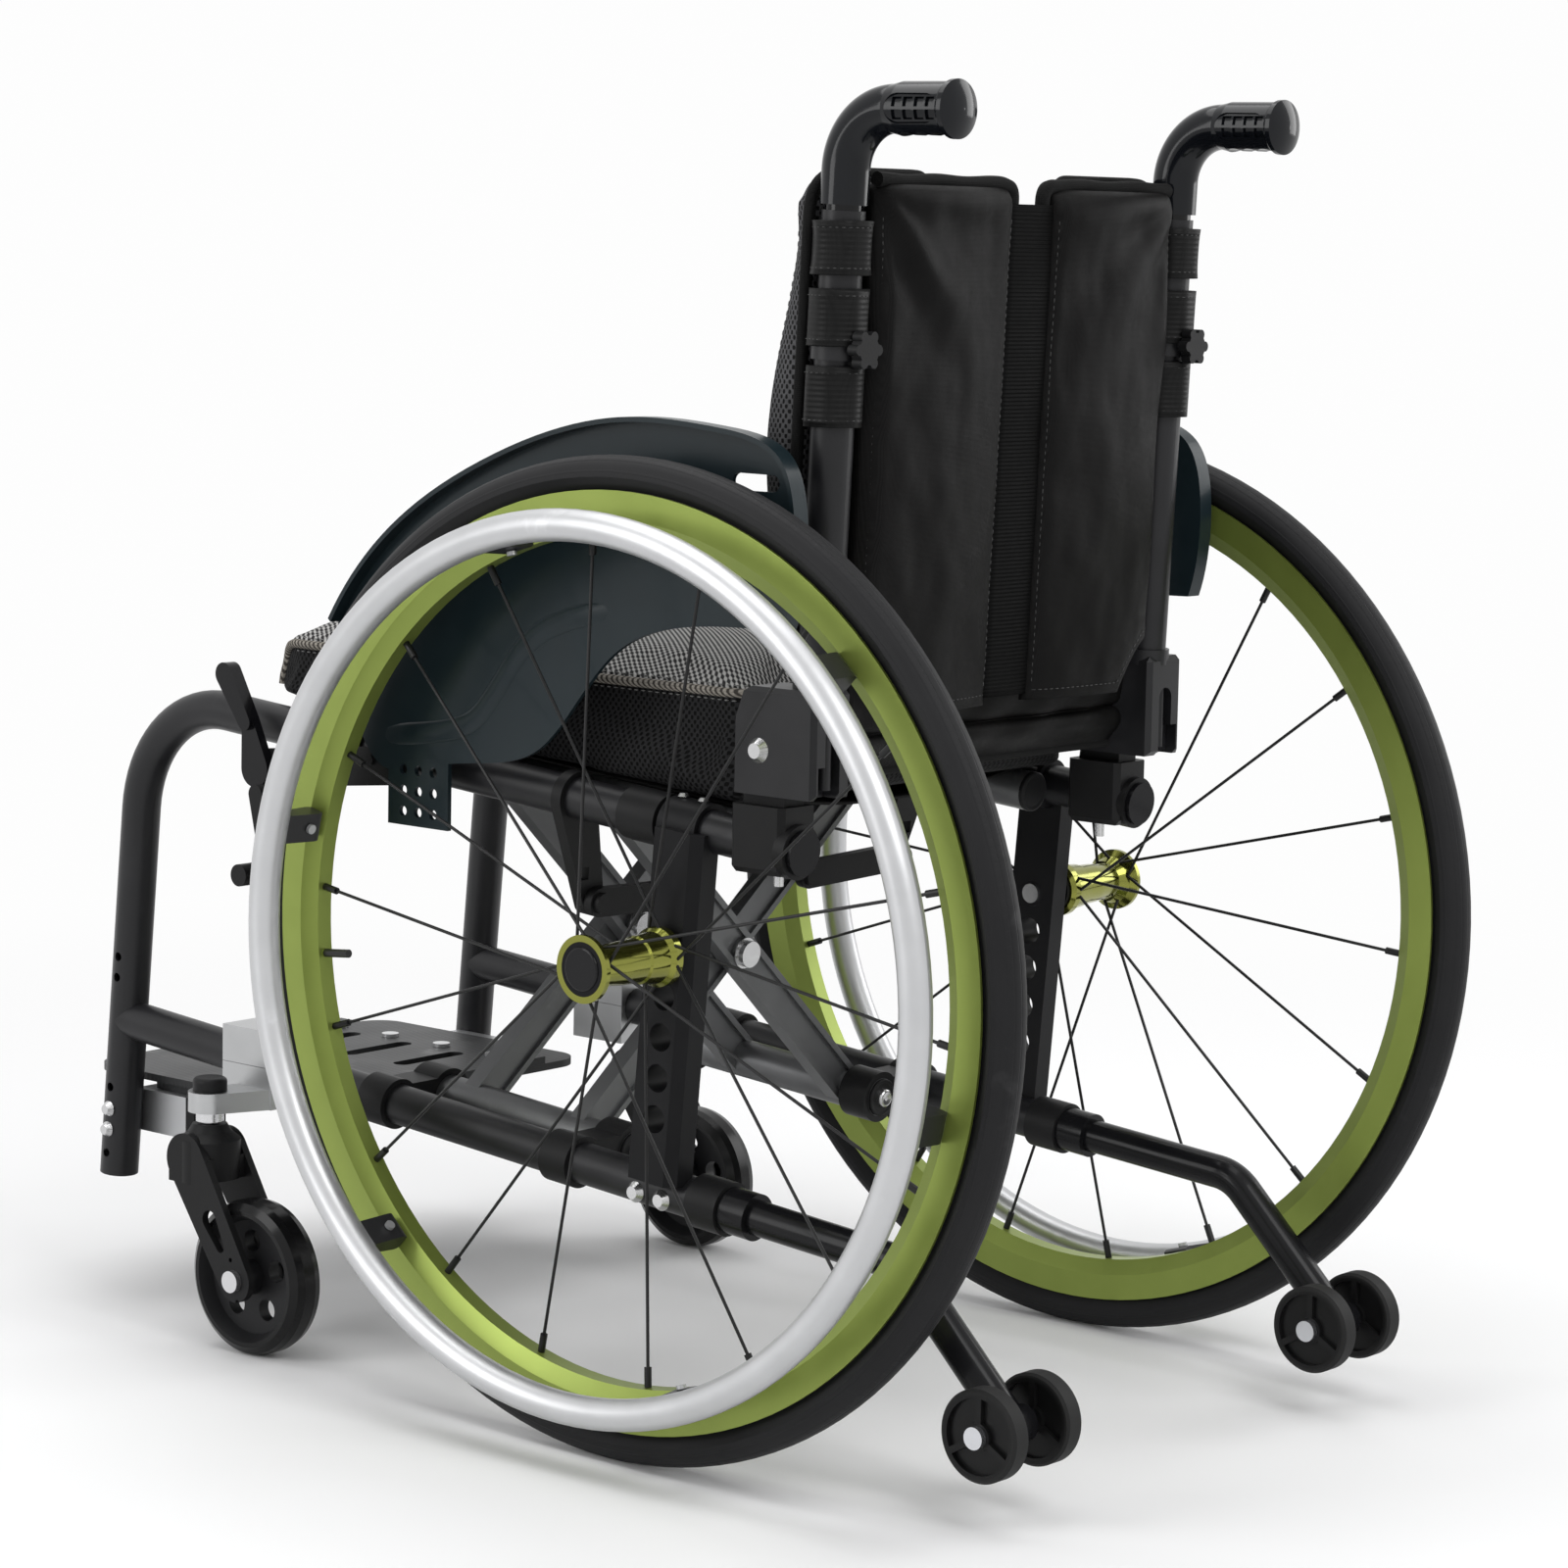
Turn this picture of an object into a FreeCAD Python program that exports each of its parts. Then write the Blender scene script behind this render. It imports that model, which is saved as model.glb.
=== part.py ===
import FreeCAD, Part
import math
import os

V = FreeCAD.Vector

# Folding wheelchair with a cross brace. Millimetres, +Z up, the user faces -Y, +X is the user's left.
# The origin lies on the floor, under the middle of the whole chair. The sizes below are counted
# along Y from the rear axle, and origin_shift moves them to the origin.

# Tubes
tube_radius = 12.7
tube_wall = 2.0
slide_tube_radius = 10.9
running_clearance = 0.05
seat_clearance = 0.3
overrun = 5.0

# Rear wheels
wheel_plane = 226.0
tyre_radius = 296.0
tyre_width = 25.0
tyre_wall = 3.5
bead_width = 15.0
rim_flange_radius = 276.0
rim_bed_radius = 266.0
rim_inner_radius = 250.0
rim_width = 22.0
rim_inner_width = 11.0
rim_wall = 1.8
spoke_radius = 1.0
nipple_radius = 2.2
nipple_length = 12.0
spoke_count = 18
spoke_phase = math.radians(-3.8)
spoke_lead = math.radians(42)
hub_inner_end = 189.5
hub_outer_end = 259.0
hub_cap_radius = 20.0
hub_cap_width = 6.0
hub_waist_radius = 11.5
hub_flange_radius = 18.0
hub_flange_width = 4.0
hub_flange_inset = 6.0
hub_step_share = 0.55
spoke_circle = 14.5
axle_radius = 6.35
axle_head_radius = 16.0
axle_head_depth = 5.0
button_radius = 13.0
button_travel = 2.2
button_rise = 1.2
valve_radius = 2.6
valve_length = 24.0
valve_foot = 3.0
valve_angle = 5.7

# Hand rims
hand_rim_radius = 257.0
hand_rim_tube_radius = 9.5
hand_rim_offset = 43.5
clip_count = 6
clip_phase = 17.0
clip_width = 18.0
clip_thickness = 4.2
clip_foot_radius = 6.5
clip_drop = 3.0
clip_screw_inset = 10.0
clip_screw_radius = 3.0
clip_screw_head = 2.6

# Side frames
side_plane = 165.0
tube_slope = math.radians(4.6)
lower_line_height = 148.0
upper_line_rise = 222.0
leg_foot_y = -512.0
leg_foot_z = 83.0
leg_lean = 0.086
front_bend_radius = 78.0
upper_tube_end = 84.0
lower_tube_end = 24.0
leg_hole_radius = 3.0
leg_hole_heights = (98.0, 143.0, 218.0, 232.0)

# Axle bars
axle_bar_width = 34.0
axle_bar_inner = 167.0
axle_bar_outer = 186.5
axle_bar_bevel = 6.0
axle_bar_foot = 8.0
axle_bar_collar_length = 30.0
axle_bar_collar_shift = 6.0
axle_hole_radius = 8.5
axle_hole_pitch = 25.0
axle_hole_count = 4
sleeve_flange_radius = 14.0
sleeve_flange = 2.5

# Cross brace
lower_pivot_x = 120.0
seat_tube_x = 130.0
brace_front = -216.0
brace_rear = -124.0
bar_width = 24.0
bar_thickness = 12.0
bar_groove = 2.5
bar_flange = 4.0
bar_gap = 1.0
lower_pivot_front = -268.0
lower_pivot_rear = -86.0
seat_tube_front = -358.0
seat_tube_rear = 7.0
bracket_length = 22.0
bracket_radius = 17.0
bracket_height = 24.0
centre_bolt_radius = 4.0
centre_bolt_head_radius = 8.5
centre_bolt_head = 5.0
washer_radius = 10.0
washer_thickness = 1.5
cradle_length = 30.0
cradle_front = -318.0
cradle_rear = -66.0
cradle_wall = 4.0
cradle_lip = 5.0
collar_wall = 3.5

# Stabiliser links
link_pivot_x = 145.0
link_pivot_height = 156.0
link_end_share = 0.403
link_width = 18.0
link_thickness = 6.0
link_plate_thickness = 8.0
link_hole = 8.0

# Backrest hinges
back_pivot_y = 63.0
back_pivot_z = 423.0
hinge_plane = 163.0
post_plane = 160.0
post_base_y = 88.0
post_base_z = 402.0
post_lean = 0.0427
post_length = 333.0
foot_half_width = 17.0
foot_front = 45.0
foot_shoulder = 52.0
foot_shoulder_height = 441.0
foot_rear = 105.0
foot_bottom = 397.0
foot_top = 460.0
foot_chamfer = 3.0
foot_collar = 9.0
cavity_rear = 84.0
cavity_roof = 440.0
slot_half_width = 6.5
slot_bottom = 402.0
slot_top = 440.0
slot_depth = 12.0
notch_depth = 8.0
notch_height = 14.0
notch_reach = 12.5
plunger_radius = 3.8
tongue_half_width = 9.0
tongue_radius = 13.5
tongue_foot_radius = 16.0
base_half_width = 16.0
base_front = 40.0
base_rear = 81.0
base_bottom = 350.0
base_top = 390.4
base_chamfer = 3.5
end_ring_radius = 16.4
end_ring_length = 3.0
stop_pin_radius = 3.0
stop_pin_length = 9.0
stop_pin_inset = 8.0
back_bolt_radius = 4.0
back_bolt_head_radius = 7.5
back_bolt_head = 4.0
plug_length = 3.5
plug_radius = 13.6

# Push handles
handle_height = 792.0
handle_bend_radius = 36.0
handle_insert = 120.0
handle_end = 183.0
grip_bottom = 738.0
grip_sleeve_radius = 14.0
grip_start = 136.0
grip_taper = 10.0
grip_end = 188.0
grip_radius = 15.5
grip_end_radius = 16.8
grip_end_width = 5.0
grip_dome = 4.0
grip_wave_count = 3
grip_wave_depth = 2.2
panel_radius = 8.5
panel_depth = 0.9
window_rows = 2
window_columns = 4
window_size = 6.5
window_height = 5.5
window_gap = 1.6
window_depth = 1.5
clamp_height = 656.0
clamp_radius = 15.0
clamp_length = 12.0
knob_radius = 8.5
knob_thickness = 7.0
knob_lobes = 6
knob_lobe_radius = 3.2
knob_neck_radius = 4.0
knob_neck = 2.5

# Side guards
guard_plane = 191.5
guard_thickness = 3.0
guard_lip = 12.0
guard_front = -273.0
guard_rear = 109.0
guard_bottom = 352.0
guard_top = 612.0
guard_tab_width = 52.0
guard_tab_height = 52.0
guard_tab_share = 0.12
guard_hole_rows = 3
guard_slot_drop = 33.0
guard_hole_radius = 3.2
guard_hole_pitch = 13.0
guard_slot_radius = 5.0
guard_slot_length = 26.0

# Wheel locks
lock_pivot_y = -348.0
lock_pivot_z = 374.0
lock_plate_thickness = 8.0
lock_plate_rear = -226.0
lock_plate_half = 12.0
lever_length = 64.0
lever_lean = math.radians(24)
lever_hub_radius = 12.0
lever_tip_radius = 7.5
lever_thickness = 6.0
shoe_pivot_y = -334.0
shoe_pivot_z = 360.0
shoe_reach = 49.5
shoe_start = math.radians(14)
shoe_rod_radius = 7.0
shoe_rod_length = 12.0
shoe_arm_width = 12.0
lock_screw_radius = 3.2

# Casters
caster_x = 208.0
caster_stem_y = -374.0
caster_trail = 45.0
caster_radius = 50.0
caster_width = 25.0
caster_tyre = 9.0
caster_hub_radius = 11.0
caster_spokes = 5
caster_web = 8.0
arm_bottom = 151.0
arm_thickness = 13.0
arm_ring_radius = 14.0
arm_clamp_front = -392.0
arm_clamp_length = 46.0
arm_clamp_top = 202.0
stem_radius = 6.0
stem_cap_radius = 11.0
stem_cap_height = 9.0
stem_nut_radius = 9.0
stem_nut_height = 6.0
fork_crown_top = 143.0
fork_crown_bottom = 106.0
fork_crown_radius = 20.0
fork_blade = 5.0
fork_gap = 2.0
fork_foot_radius = 14.0
fork_neck_radius = 17.0
fork_hole_radius = 3.0
fork_hole_pitch = 13.0
fork_axle_radius = 4.0
fork_nut_radius = 7.0
fork_nut = 4.0

# Anti-tip tubes
tip_radius = 10.6
tip_wall = 2.0
tip_insert = 40.0
tip_bend_y = 168.0
tip_axle_y = 249.0
tip_axle_z = 55.0
tip_bend_radius = 34.0
tip_wheel_radius = 27.0
tip_wheel_width = 14.0
tip_wheel_offset = 24.5
tip_wheel_recess = 3.0
tip_hub_radius = 8.0
tip_axle_radius = 4.0
tip_nut_radius = 6.5
tip_nut = 4.0
tip_ribs = 3
tip_rib_width = 4.0
tip_boss_radius = 11.0
collar_length = 24.0
collar_radius = 16.5
inner_collar_length = 20.0
inner_collar_radius = 14.2

# Footplate
plate_height = 139.0
plate_thickness = 5.0
plate_left = 147.5
plate_right = -124.0
plate_front = -562.0
plate_rear = -358.0
plate_split = -85.0
plate_overlap = 146.0
plate_corner = 22.0
plate_bolt_x = -60.0
plate_bolt_head_radius = 6.0
plate_bolt_head = 2.5
plate_slot_length = 62.0
plate_slot_width = 13.0
plate_slot_count = 3
hanger_height = 28.0
hanger_depth = 46.0
hanger_front = -498.0
hanger_width = 28.0
hanger_wall = 3.0
hanger_foot = 12.0

# Seat and back covers
cushion_half_width = 160.0
cushion_front = -392.0
cushion_rear = 36.0
cushion_seam_height = 450.0
cushion_crown = 20.0
cushion_bulge = 7.0
sling_thickness = 3.0
sling_sag = 9.0
sling_front = -336.0
sling_rear = 20.0
back_bottom = 480.0
back_top = 758.0
cloth_bottom = 442.0
skirt_bottom = 403.0
skirt_front = 74.0
skirt_half_width = 138.0
back_half_width = 145.0
back_front_half_width = 166.0
back_rear_offset = 7.0
back_pad_depth = 26.0
back_lumbar = 10.0
rear_panel_thickness = 3.5
rear_panel_gap = 38.0
strap_heights = (620.0, 665.0, 703.0)
strap_width = 28.0
strap_thickness = 2.5

# Frame bolts
bolt_radius = 3.0
bolt_head_radius = 6.5
bolt_head = 3.5
bar_bolt_first = 9.0
bar_bolt_pitch = 21.0
bar_bolt_drop = 3.0
hanger_bolt_heights = (128.0, 114.0)
collar_bolt_places = (-8.0, 8.0)
collar_bolt_radius = 3.6
collar_bolt_head = 2.0

axle_height = tyre_radius
origin_shift = (-plate_front - tyre_radius) / 2


def save(name, *solids):
    os.makedirs("parts", exist_ok=True)
    shape = solids[0] if len(solids) == 1 else Part.makeCompound(list(solids))
    shape.translate(V(0, origin_shift, 0))
    shape.exportStep("parts/" + name + ".step")


def save_pair(name, *solids):
    for side, shapes in (("left", solids), ("right", [flip(s) for s in solids])):
        save(side + "_" + name, *[s.copy() for s in shapes])


def flip(shape):
    return shape.mirror(V(0, 0, 0), V(1, 0, 0))


def rod(start, end, radius):
    line = end.sub(start)
    return Part.makeCylinder(radius, line.Length, start, line)


def ring(start, end, radius, bore):
    line = end.sub(start).normalize().multiply(overrun)
    return rod(start, end, radius).cut(rod(start.sub(line), end.add(line), bore))


def block(x0, x1, y0, y1, z0, z1):
    return Part.makeBox(x1 - x0, y1 - y0, z1 - z0, V(x0, y0, z0))


def tilt(shape):
    """Turns a shape drawn on level tubes down to the rear, about the rear axle's line."""
    sloped = shape.copy()
    sloped.rotate(V(0, 0, lower_line_height), V(1, 0, 0), -math.degrees(tube_slope))
    return sloped


def on_lower(y):
    return lower_line_height - y * math.tan(tube_slope)


def on_upper(y):
    return on_lower(y) + upper_line_rise / math.cos(tube_slope)


def bent_wire(points, radius):
    """A line through the points, with each corner rounded by an arc."""
    edges = []
    start = points[0]
    for before, corner, after in zip(points, points[1:], points[2:]):
        back = before.sub(corner).normalize()
        ahead = after.sub(corner).normalize()
        half = back.getAngle(ahead) / 2
        reach = radius / math.tan(half)
        first = corner.add(back * reach)
        last = corner.add(ahead * reach)
        middle = back.add(ahead).normalize()
        centre = corner.add(middle * (radius / math.sin(half)))
        edges.append(Part.LineSegment(start, first).toShape())
        edges.append(Part.Arc(first, centre.sub(middle * radius), last).toShape())
        start = last
    edges.append(Part.LineSegment(start, points[-1]).toShape())
    return Part.Wire(edges)


def pipe(wire, radius):
    edge = wire.Edges[0]
    circle = Part.Circle(edge.valueAt(edge.FirstParameter), edge.tangentAt(edge.FirstParameter), radius)
    return wire.makePipeShell([Part.Wire([circle.toShape()])], True, False)


def elbow(start, corner, end, bend_radius, radius):
    """A round bar from start to end, bent by an arc at the corner."""
    back = start.sub(corner).normalize()
    ahead = end.sub(corner).normalize()
    half = back.getAngle(ahead) / 2
    reach = bend_radius / math.tan(half)
    first = corner.add(back * reach)
    last = corner.add(ahead * reach)
    centre = corner.add(back.add(ahead).normalize() * (bend_radius / math.sin(half)))
    inward = first.sub(centre)
    outward = last.sub(centre)
    disc = Part.Face(Part.Wire([Part.Circle(first, back, radius).toShape()]))
    bend = disc.revolve(centre, inward.cross(outward).normalize(), math.degrees(inward.getAngle(outward)))
    return rod(start, first, radius).fuse(bend).fuse(rod(last, end, radius))


def in_plane(axis, a, b, level=0.0):
    """Places a flat point: axis x takes (y, z), axis y takes (x, z), axis z takes (x, y)."""
    return {"x": V(level, a, b), "y": V(a, level, b), "z": V(a, b, level)}[axis]


def spread(face, axis, start, end):
    """Extrudes a flat face along its axis from start to end."""
    step = in_plane(axis, 0, 0, end - start)
    moved = face.copy()
    moved.translate(in_plane(axis, 0, 0, start))
    return moved.extrude(step)


def polygon(axis, points):
    corners = [in_plane(axis, a, b) for a, b in points]
    return Part.Face(Part.makePolygon(corners + corners[:1]))


def lobe(axis, a, a_radius, b, b_radius):
    """The face round two circles and the tangents between them."""
    gap = math.hypot(b[0] - a[0], b[1] - a[1])
    along = math.atan2(b[1] - a[1], b[0] - a[0])
    open_angle = math.acos((a_radius - b_radius) / gap)

    def at(centre, radius, angle):
        return in_plane(axis, centre[0] + radius * math.cos(angle), centre[1] + radius * math.sin(angle))

    a_left, a_back, a_right = (at(a, a_radius, along + t) for t in (open_angle, math.pi, -open_angle))
    b_right, b_ahead, b_left = (at(b, b_radius, along + t) for t in (-open_angle, 0, open_angle))
    edges = [Part.Arc(a_left, a_back, a_right).toShape(), Part.LineSegment(a_right, b_right).toShape(),
             Part.Arc(b_right, b_ahead, b_left).toShape(), Part.LineSegment(b_left, a_left).toShape()]
    return Part.Face(Part.Wire(edges))


def turned(points, centre, direction=V(1, 0, 0)):
    """Revolves an outline of (along, radius) points about an axis through centre."""
    side = V(0, 0, 1) if abs(direction.z) == 0 else V(0, 1, 0)
    corners = [centre.add(direction * along).add(side * radius) for along, radius in points]
    face = Part.Face(Part.makePolygon(corners + corners[:1]))
    return face.revolve(centre, direction, 360)


def patterned(shape, centre, direction, count, first=0.0):
    copies = []
    for number in range(count):
        copy = shape.copy()
        copy.rotate(centre, direction, first + 360.0 * number / count)
        copies.append(copy)
    return copies


def smooth_loft(wires):
    return Part.makeLoft(wires, True, False)


# Rear wheels

def wheel_centre(x):
    return V(x, 0, axle_height)


def tyre():
    """Tube section with two bead walls, turned about the axle."""
    half = tyre_width / 2
    middle = tyre_radius - half
    bead = bead_width / 2
    shoulder = rim_flange_radius + running_clearance

    def at(along, radius):
        return wheel_centre(wheel_plane + along).add(V(0, 0, radius))

    crown = Part.Arc(at(-half, middle), at(0, tyre_radius), at(half, middle)).toShape()
    bead_foot = rim_bed_radius + running_clearance
    walls = Part.makePolygon([at(half, middle), at(bead, shoulder), at(bead, bead_foot),
                              at(-bead, bead_foot), at(-bead, shoulder), at(-half, middle)])
    outline = Part.Face(Part.Wire([crown] + walls.Edges))
    body = outline.revolve(wheel_centre(wheel_plane), V(1, 0, 0), 360)
    air = Part.makeTorus(middle, half - tyre_wall, wheel_centre(wheel_plane), V(1, 0, 0))
    return body.cut(air)


def rim():
    """Deep hollow section with a bed for the tyre, and the valve."""
    half = rim_width / 2
    foot = rim_inner_width / 2
    inside = half - rim_wall
    shoulder = rim_inner_radius + (rim_bed_radius - rim_inner_radius) * 0.6
    outline = [(half, rim_flange_radius), (half, shoulder), (foot, rim_inner_radius),
               (-foot, rim_inner_radius), (-half, shoulder), (-half, rim_flange_radius),
               (-inside, rim_flange_radius), (-inside, rim_bed_radius), (inside, rim_bed_radius),
               (inside, rim_flange_radius)]
    hollow = [(inside, rim_bed_radius - rim_wall), (inside, shoulder + rim_wall / 2),
              (foot - rim_wall / 2, rim_inner_radius + rim_wall),
              (rim_wall / 2 - foot, rim_inner_radius + rim_wall),
              (-inside, shoulder + rim_wall / 2), (-inside, rim_bed_radius - rim_wall)]
    body = turned(outline, wheel_centre(wheel_plane)).cut(turned(hollow, wheel_centre(wheel_plane)))
    foot_at = wheel_centre(wheel_plane).add(V(0, -rim_inner_radius - valve_foot, 0))
    valve = rod(foot_at, foot_at.add(V(0, valve_length, 0)), valve_radius)
    valve.rotate(wheel_centre(wheel_plane), V(1, 0, 0), valve_angle)
    return body.fuse(valve)


def spokes():
    """Two crossed rows, from each hub flange to the rim, each with its nipple."""
    rows = []
    outer = hub_outer_end - hub_cap_width - spoke_radius
    inner = hub_inner_end + hub_flange_inset
    core = hub()
    bed = rod(wheel_centre(hub_inner_end), wheel_centre(hub_outer_end), rim_inner_radius - running_clearance)
    for number in range(spoke_count):
        angle = 2 * math.pi * number / spoke_count + spoke_phase
        flange = outer if number % 2 else inner
        lead = spoke_lead if number % 4 < 2 else -spoke_lead
        hub_at = V(flange, spoke_circle * math.cos(angle + lead),
                   axle_height + spoke_circle * math.sin(angle + lead))
        rim_at = V(wheel_plane, rim_inner_radius * math.cos(angle),
                   axle_height + rim_inner_radius * math.sin(angle))
        inward = hub_at.sub(rim_at).normalize()
        wire = rod(hub_at, rim_at, spoke_radius)
        nipple = rod(rim_at, rim_at.add(inward * nipple_length), nipple_radius)
        rows.append(wire.fuse(nipple).cut(core).common(bed))
    return rows


def hub():
    """Bell-shaped hub with a wide cap end, a flange at the frame and a stepped bore for the axle."""
    length = hub_outer_end - hub_inner_end
    flange = hub_flange_width + hub_flange_inset / 2
    step = length * hub_step_share
    neck = length - hub_cap_width - hub_flange_inset
    bore = axle_radius + running_clearance
    head = axle_head_radius + running_clearance
    outline = [(0, bore), (0, hub_flange_radius * 0.85), (hub_flange_inset / 3, hub_flange_radius),
               (flange, hub_flange_radius), (flange + hub_flange_inset / 2, hub_flange_radius * 0.86),
               (step * 0.62, hub_flange_radius * 0.8), (step * 0.66, hub_flange_radius * 0.74),
               (step, hub_flange_radius * 0.72), (step + hub_flange_inset / 4, hub_waist_radius * 1.12),
               (neck, hub_waist_radius), (length - hub_cap_width, hub_cap_radius * 0.78),
               (length - hub_cap_width / 2, hub_cap_radius), (length, hub_cap_radius), (length, head),
               (length - axle_head_depth, head), (length - axle_head_depth, bore)]
    return turned(outline, wheel_centre(hub_inner_end))


def axle():
    """Plug-in axle with its flat head, bored for the release button."""
    inner = axle_bar_inner - sleeve_flange
    face = hub_outer_end - axle_head_depth + running_clearance
    shaft = rod(wheel_centre(inner), wheel_centre(face), axle_radius)
    head = rod(wheel_centre(face), wheel_centre(hub_outer_end), axle_head_radius)
    pocket = rod(wheel_centre(face - button_travel - seat_clearance), wheel_centre(hub_outer_end + overrun),
                 axle_radius / 2 + running_clearance)
    well = rod(wheel_centre(hub_outer_end - button_rise / 2 - button_travel - seat_clearance),
               wheel_centre(hub_outer_end + overrun), button_radius + running_clearance)
    return shaft.fuse(head).cut(well).cut(pocket)


def axle_button():
    """Round button that stands just proud of the axle head, on a thin stem."""
    top = hub_outer_end + button_rise
    base = hub_outer_end - button_rise / 2
    face = hub_outer_end - axle_head_depth
    cap = rod(wheel_centre(base), wheel_centre(top), button_radius)
    cap = cap.makeFillet(button_rise, [edge for edge in cap.Edges if edge.BoundBox.XMin > hub_outer_end])
    stem = rod(wheel_centre(face), wheel_centre(base), axle_radius / 2)
    return cap.fuse(stem)


def hand_rim():
    """Round tube ring, and the clips that hold it to the wheel rim, each with its screw."""
    plane = wheel_plane + hand_rim_offset
    tube = Part.makeTorus(hand_rim_radius, hand_rim_tube_radius, wheel_centre(plane), V(1, 0, 0))
    around = Part.makeTorus(hand_rim_radius, hand_rim_tube_radius + running_clearance, wheel_centre(plane),
                            V(1, 0, 0))
    side = wheel_plane + rim_width / 2 + running_clearance
    level = axle_height + hand_rim_radius - clip_drop
    strap = lobe("y", (side + clip_thickness, level), clip_foot_radius, (plane, level), clip_thickness)
    arm = spread(strap, "y", -clip_width / 2, clip_width / 2)
    arm = arm.cut(block(side - clip_foot_radius * 2, side, -clip_width, clip_width,
                        level - clip_foot_radius * 2, level + clip_foot_radius * 2))
    screw_top = level - clip_thickness / 2
    screw_at = V(side + clip_screw_inset, 0, screw_top)
    screw = rod(screw_at.sub(V(0, 0, clip_thickness + clip_screw_head)), screw_at, clip_screw_radius)
    clip = arm.fuse(screw).cut(around)
    return [tube] + patterned(clip, wheel_centre(plane), V(1, 0, 0), clip_count, clip_phase)


# Side frames

def leg_y(z):
    return leg_foot_y + (z - leg_foot_z) * leg_lean


def side_frame():
    """Front leg, bend and upper tube in one piece, with the lower tube welded between."""
    corner_z = (lower_line_height + upper_line_rise / math.cos(tube_slope)
                - math.tan(tube_slope) * (leg_foot_y - leg_foot_z * leg_lean))
    corner_z = corner_z / (1 + math.tan(tube_slope) * leg_lean)
    points = [V(side_plane, leg_foot_y, leg_foot_z), V(side_plane, leg_y(corner_z), corner_z),
              V(side_plane, upper_tube_end, on_upper(upper_tube_end))]
    path = bent_wire(points, front_bend_radius)
    joint_y = ((leg_foot_y + leg_lean * (lower_line_height - leg_foot_z))
               / (1 + leg_lean * math.tan(tube_slope)))
    front = V(side_plane, joint_y, on_lower(joint_y))
    rear = V(side_plane, lower_tube_end, on_lower(lower_tube_end))
    inside = tube_radius - tube_wall
    outer = pipe(path, tube_radius).fuse(rod(front, rear, tube_radius))
    frame = outer.cut(pipe(path, inside))
    line = rear.sub(front).normalize()
    frame = frame.cut(rod(front.add(line * tube_radius), rear.add(line * overrun), inside))
    for height in leg_hole_heights:
        side = V(side_plane, leg_y(height), height)
        frame = frame.cut(rod(side, side.add(V(tube_radius + overrun, 0, 0)), leg_hole_radius))
    return frame


def bar_point(x, along, up):
    """A place on the axle bar, which stands square on the sloping tubes and holds the rear axle."""
    level = math.sin(tube_slope)
    plumb = math.cos(tube_slope)
    return V(x, along * plumb + up * level, axle_height + up * plumb - along * level)


def axle_bar():
    """Bevelled upright bar between the side tubes, with its row of axle holes and its upper collar."""
    low = (on_lower(0) - axle_height) * math.cos(tube_slope)
    high = low + upper_line_rise
    half = axle_bar_width / 2
    corners = [(axle_bar_inner, -half), (axle_bar_outer, -half), (axle_bar_outer, half - axle_bar_bevel),
               (axle_bar_outer - axle_bar_bevel, half), (axle_bar_inner, half)]
    foot = [bar_point(x, along, low + axle_bar_foot) for x, along in corners]
    face = Part.Face(Part.makePolygon(foot + foot[:1]))
    bar = face.extrude(bar_point(0, 0, high).sub(bar_point(0, 0, low + axle_bar_foot)))
    collar_half = axle_bar_collar_length / 2
    front = bar_point(side_plane, -collar_half - axle_bar_collar_shift, high)
    rear = bar_point(side_plane, collar_half - axle_bar_collar_shift, high)
    line = rear.sub(front)
    bar = bar.fuse(rod(front, rear, tube_radius + collar_wall))
    for level in (low, high):
        at = bar_point(side_plane, 0, level)
        bar = bar.cut(rod(at.sub(line), at.add(line), tube_radius + running_clearance))
    for number in range(axle_hole_count + 1):
        centre = bar_point(axle_bar_inner, 0, -axle_hole_pitch * number)
        bar = bar.cut(rod(centre.sub(V(overrun, 0, 0)), centre.add(V(axle_bar_width, 0, 0)), axle_hole_radius))
    bore = axle_radius + running_clearance
    sleeve = ring(wheel_centre(axle_bar_inner), wheel_centre(axle_bar_outer),
                  axle_hole_radius - running_clearance, bore)
    flange = ring(wheel_centre(axle_bar_outer), wheel_centre(hub_inner_end - seat_clearance),
                  sleeve_flange_radius, bore)
    return bar, sleeve.fuse(flange)


def pivot_bracket(y0, y1):
    """Clamp round the lower tube with a ring that the brace tube's end turns in."""
    z = lower_line_height
    clamp = rod(V(side_plane, y0, z), V(side_plane, y1, z), tube_radius + collar_wall)
    eye = rod(V(lower_pivot_x, y0, z), V(lower_pivot_x, y1, z), bracket_radius)
    web = block(lower_pivot_x, side_plane, y0, y1, z - bracket_height / 2, z + bracket_height / 2)
    body = clamp.fuse(eye).fuse(web)
    body = body.cut(rod(V(side_plane, y0 - overrun, z), V(side_plane, y1 + overrun, z),
                        tube_radius + running_clearance))
    return body.cut(rod(V(lower_pivot_x, y0 - overrun, z), V(lower_pivot_x, y1 + overrun, z),
                        tube_radius + running_clearance))


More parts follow.
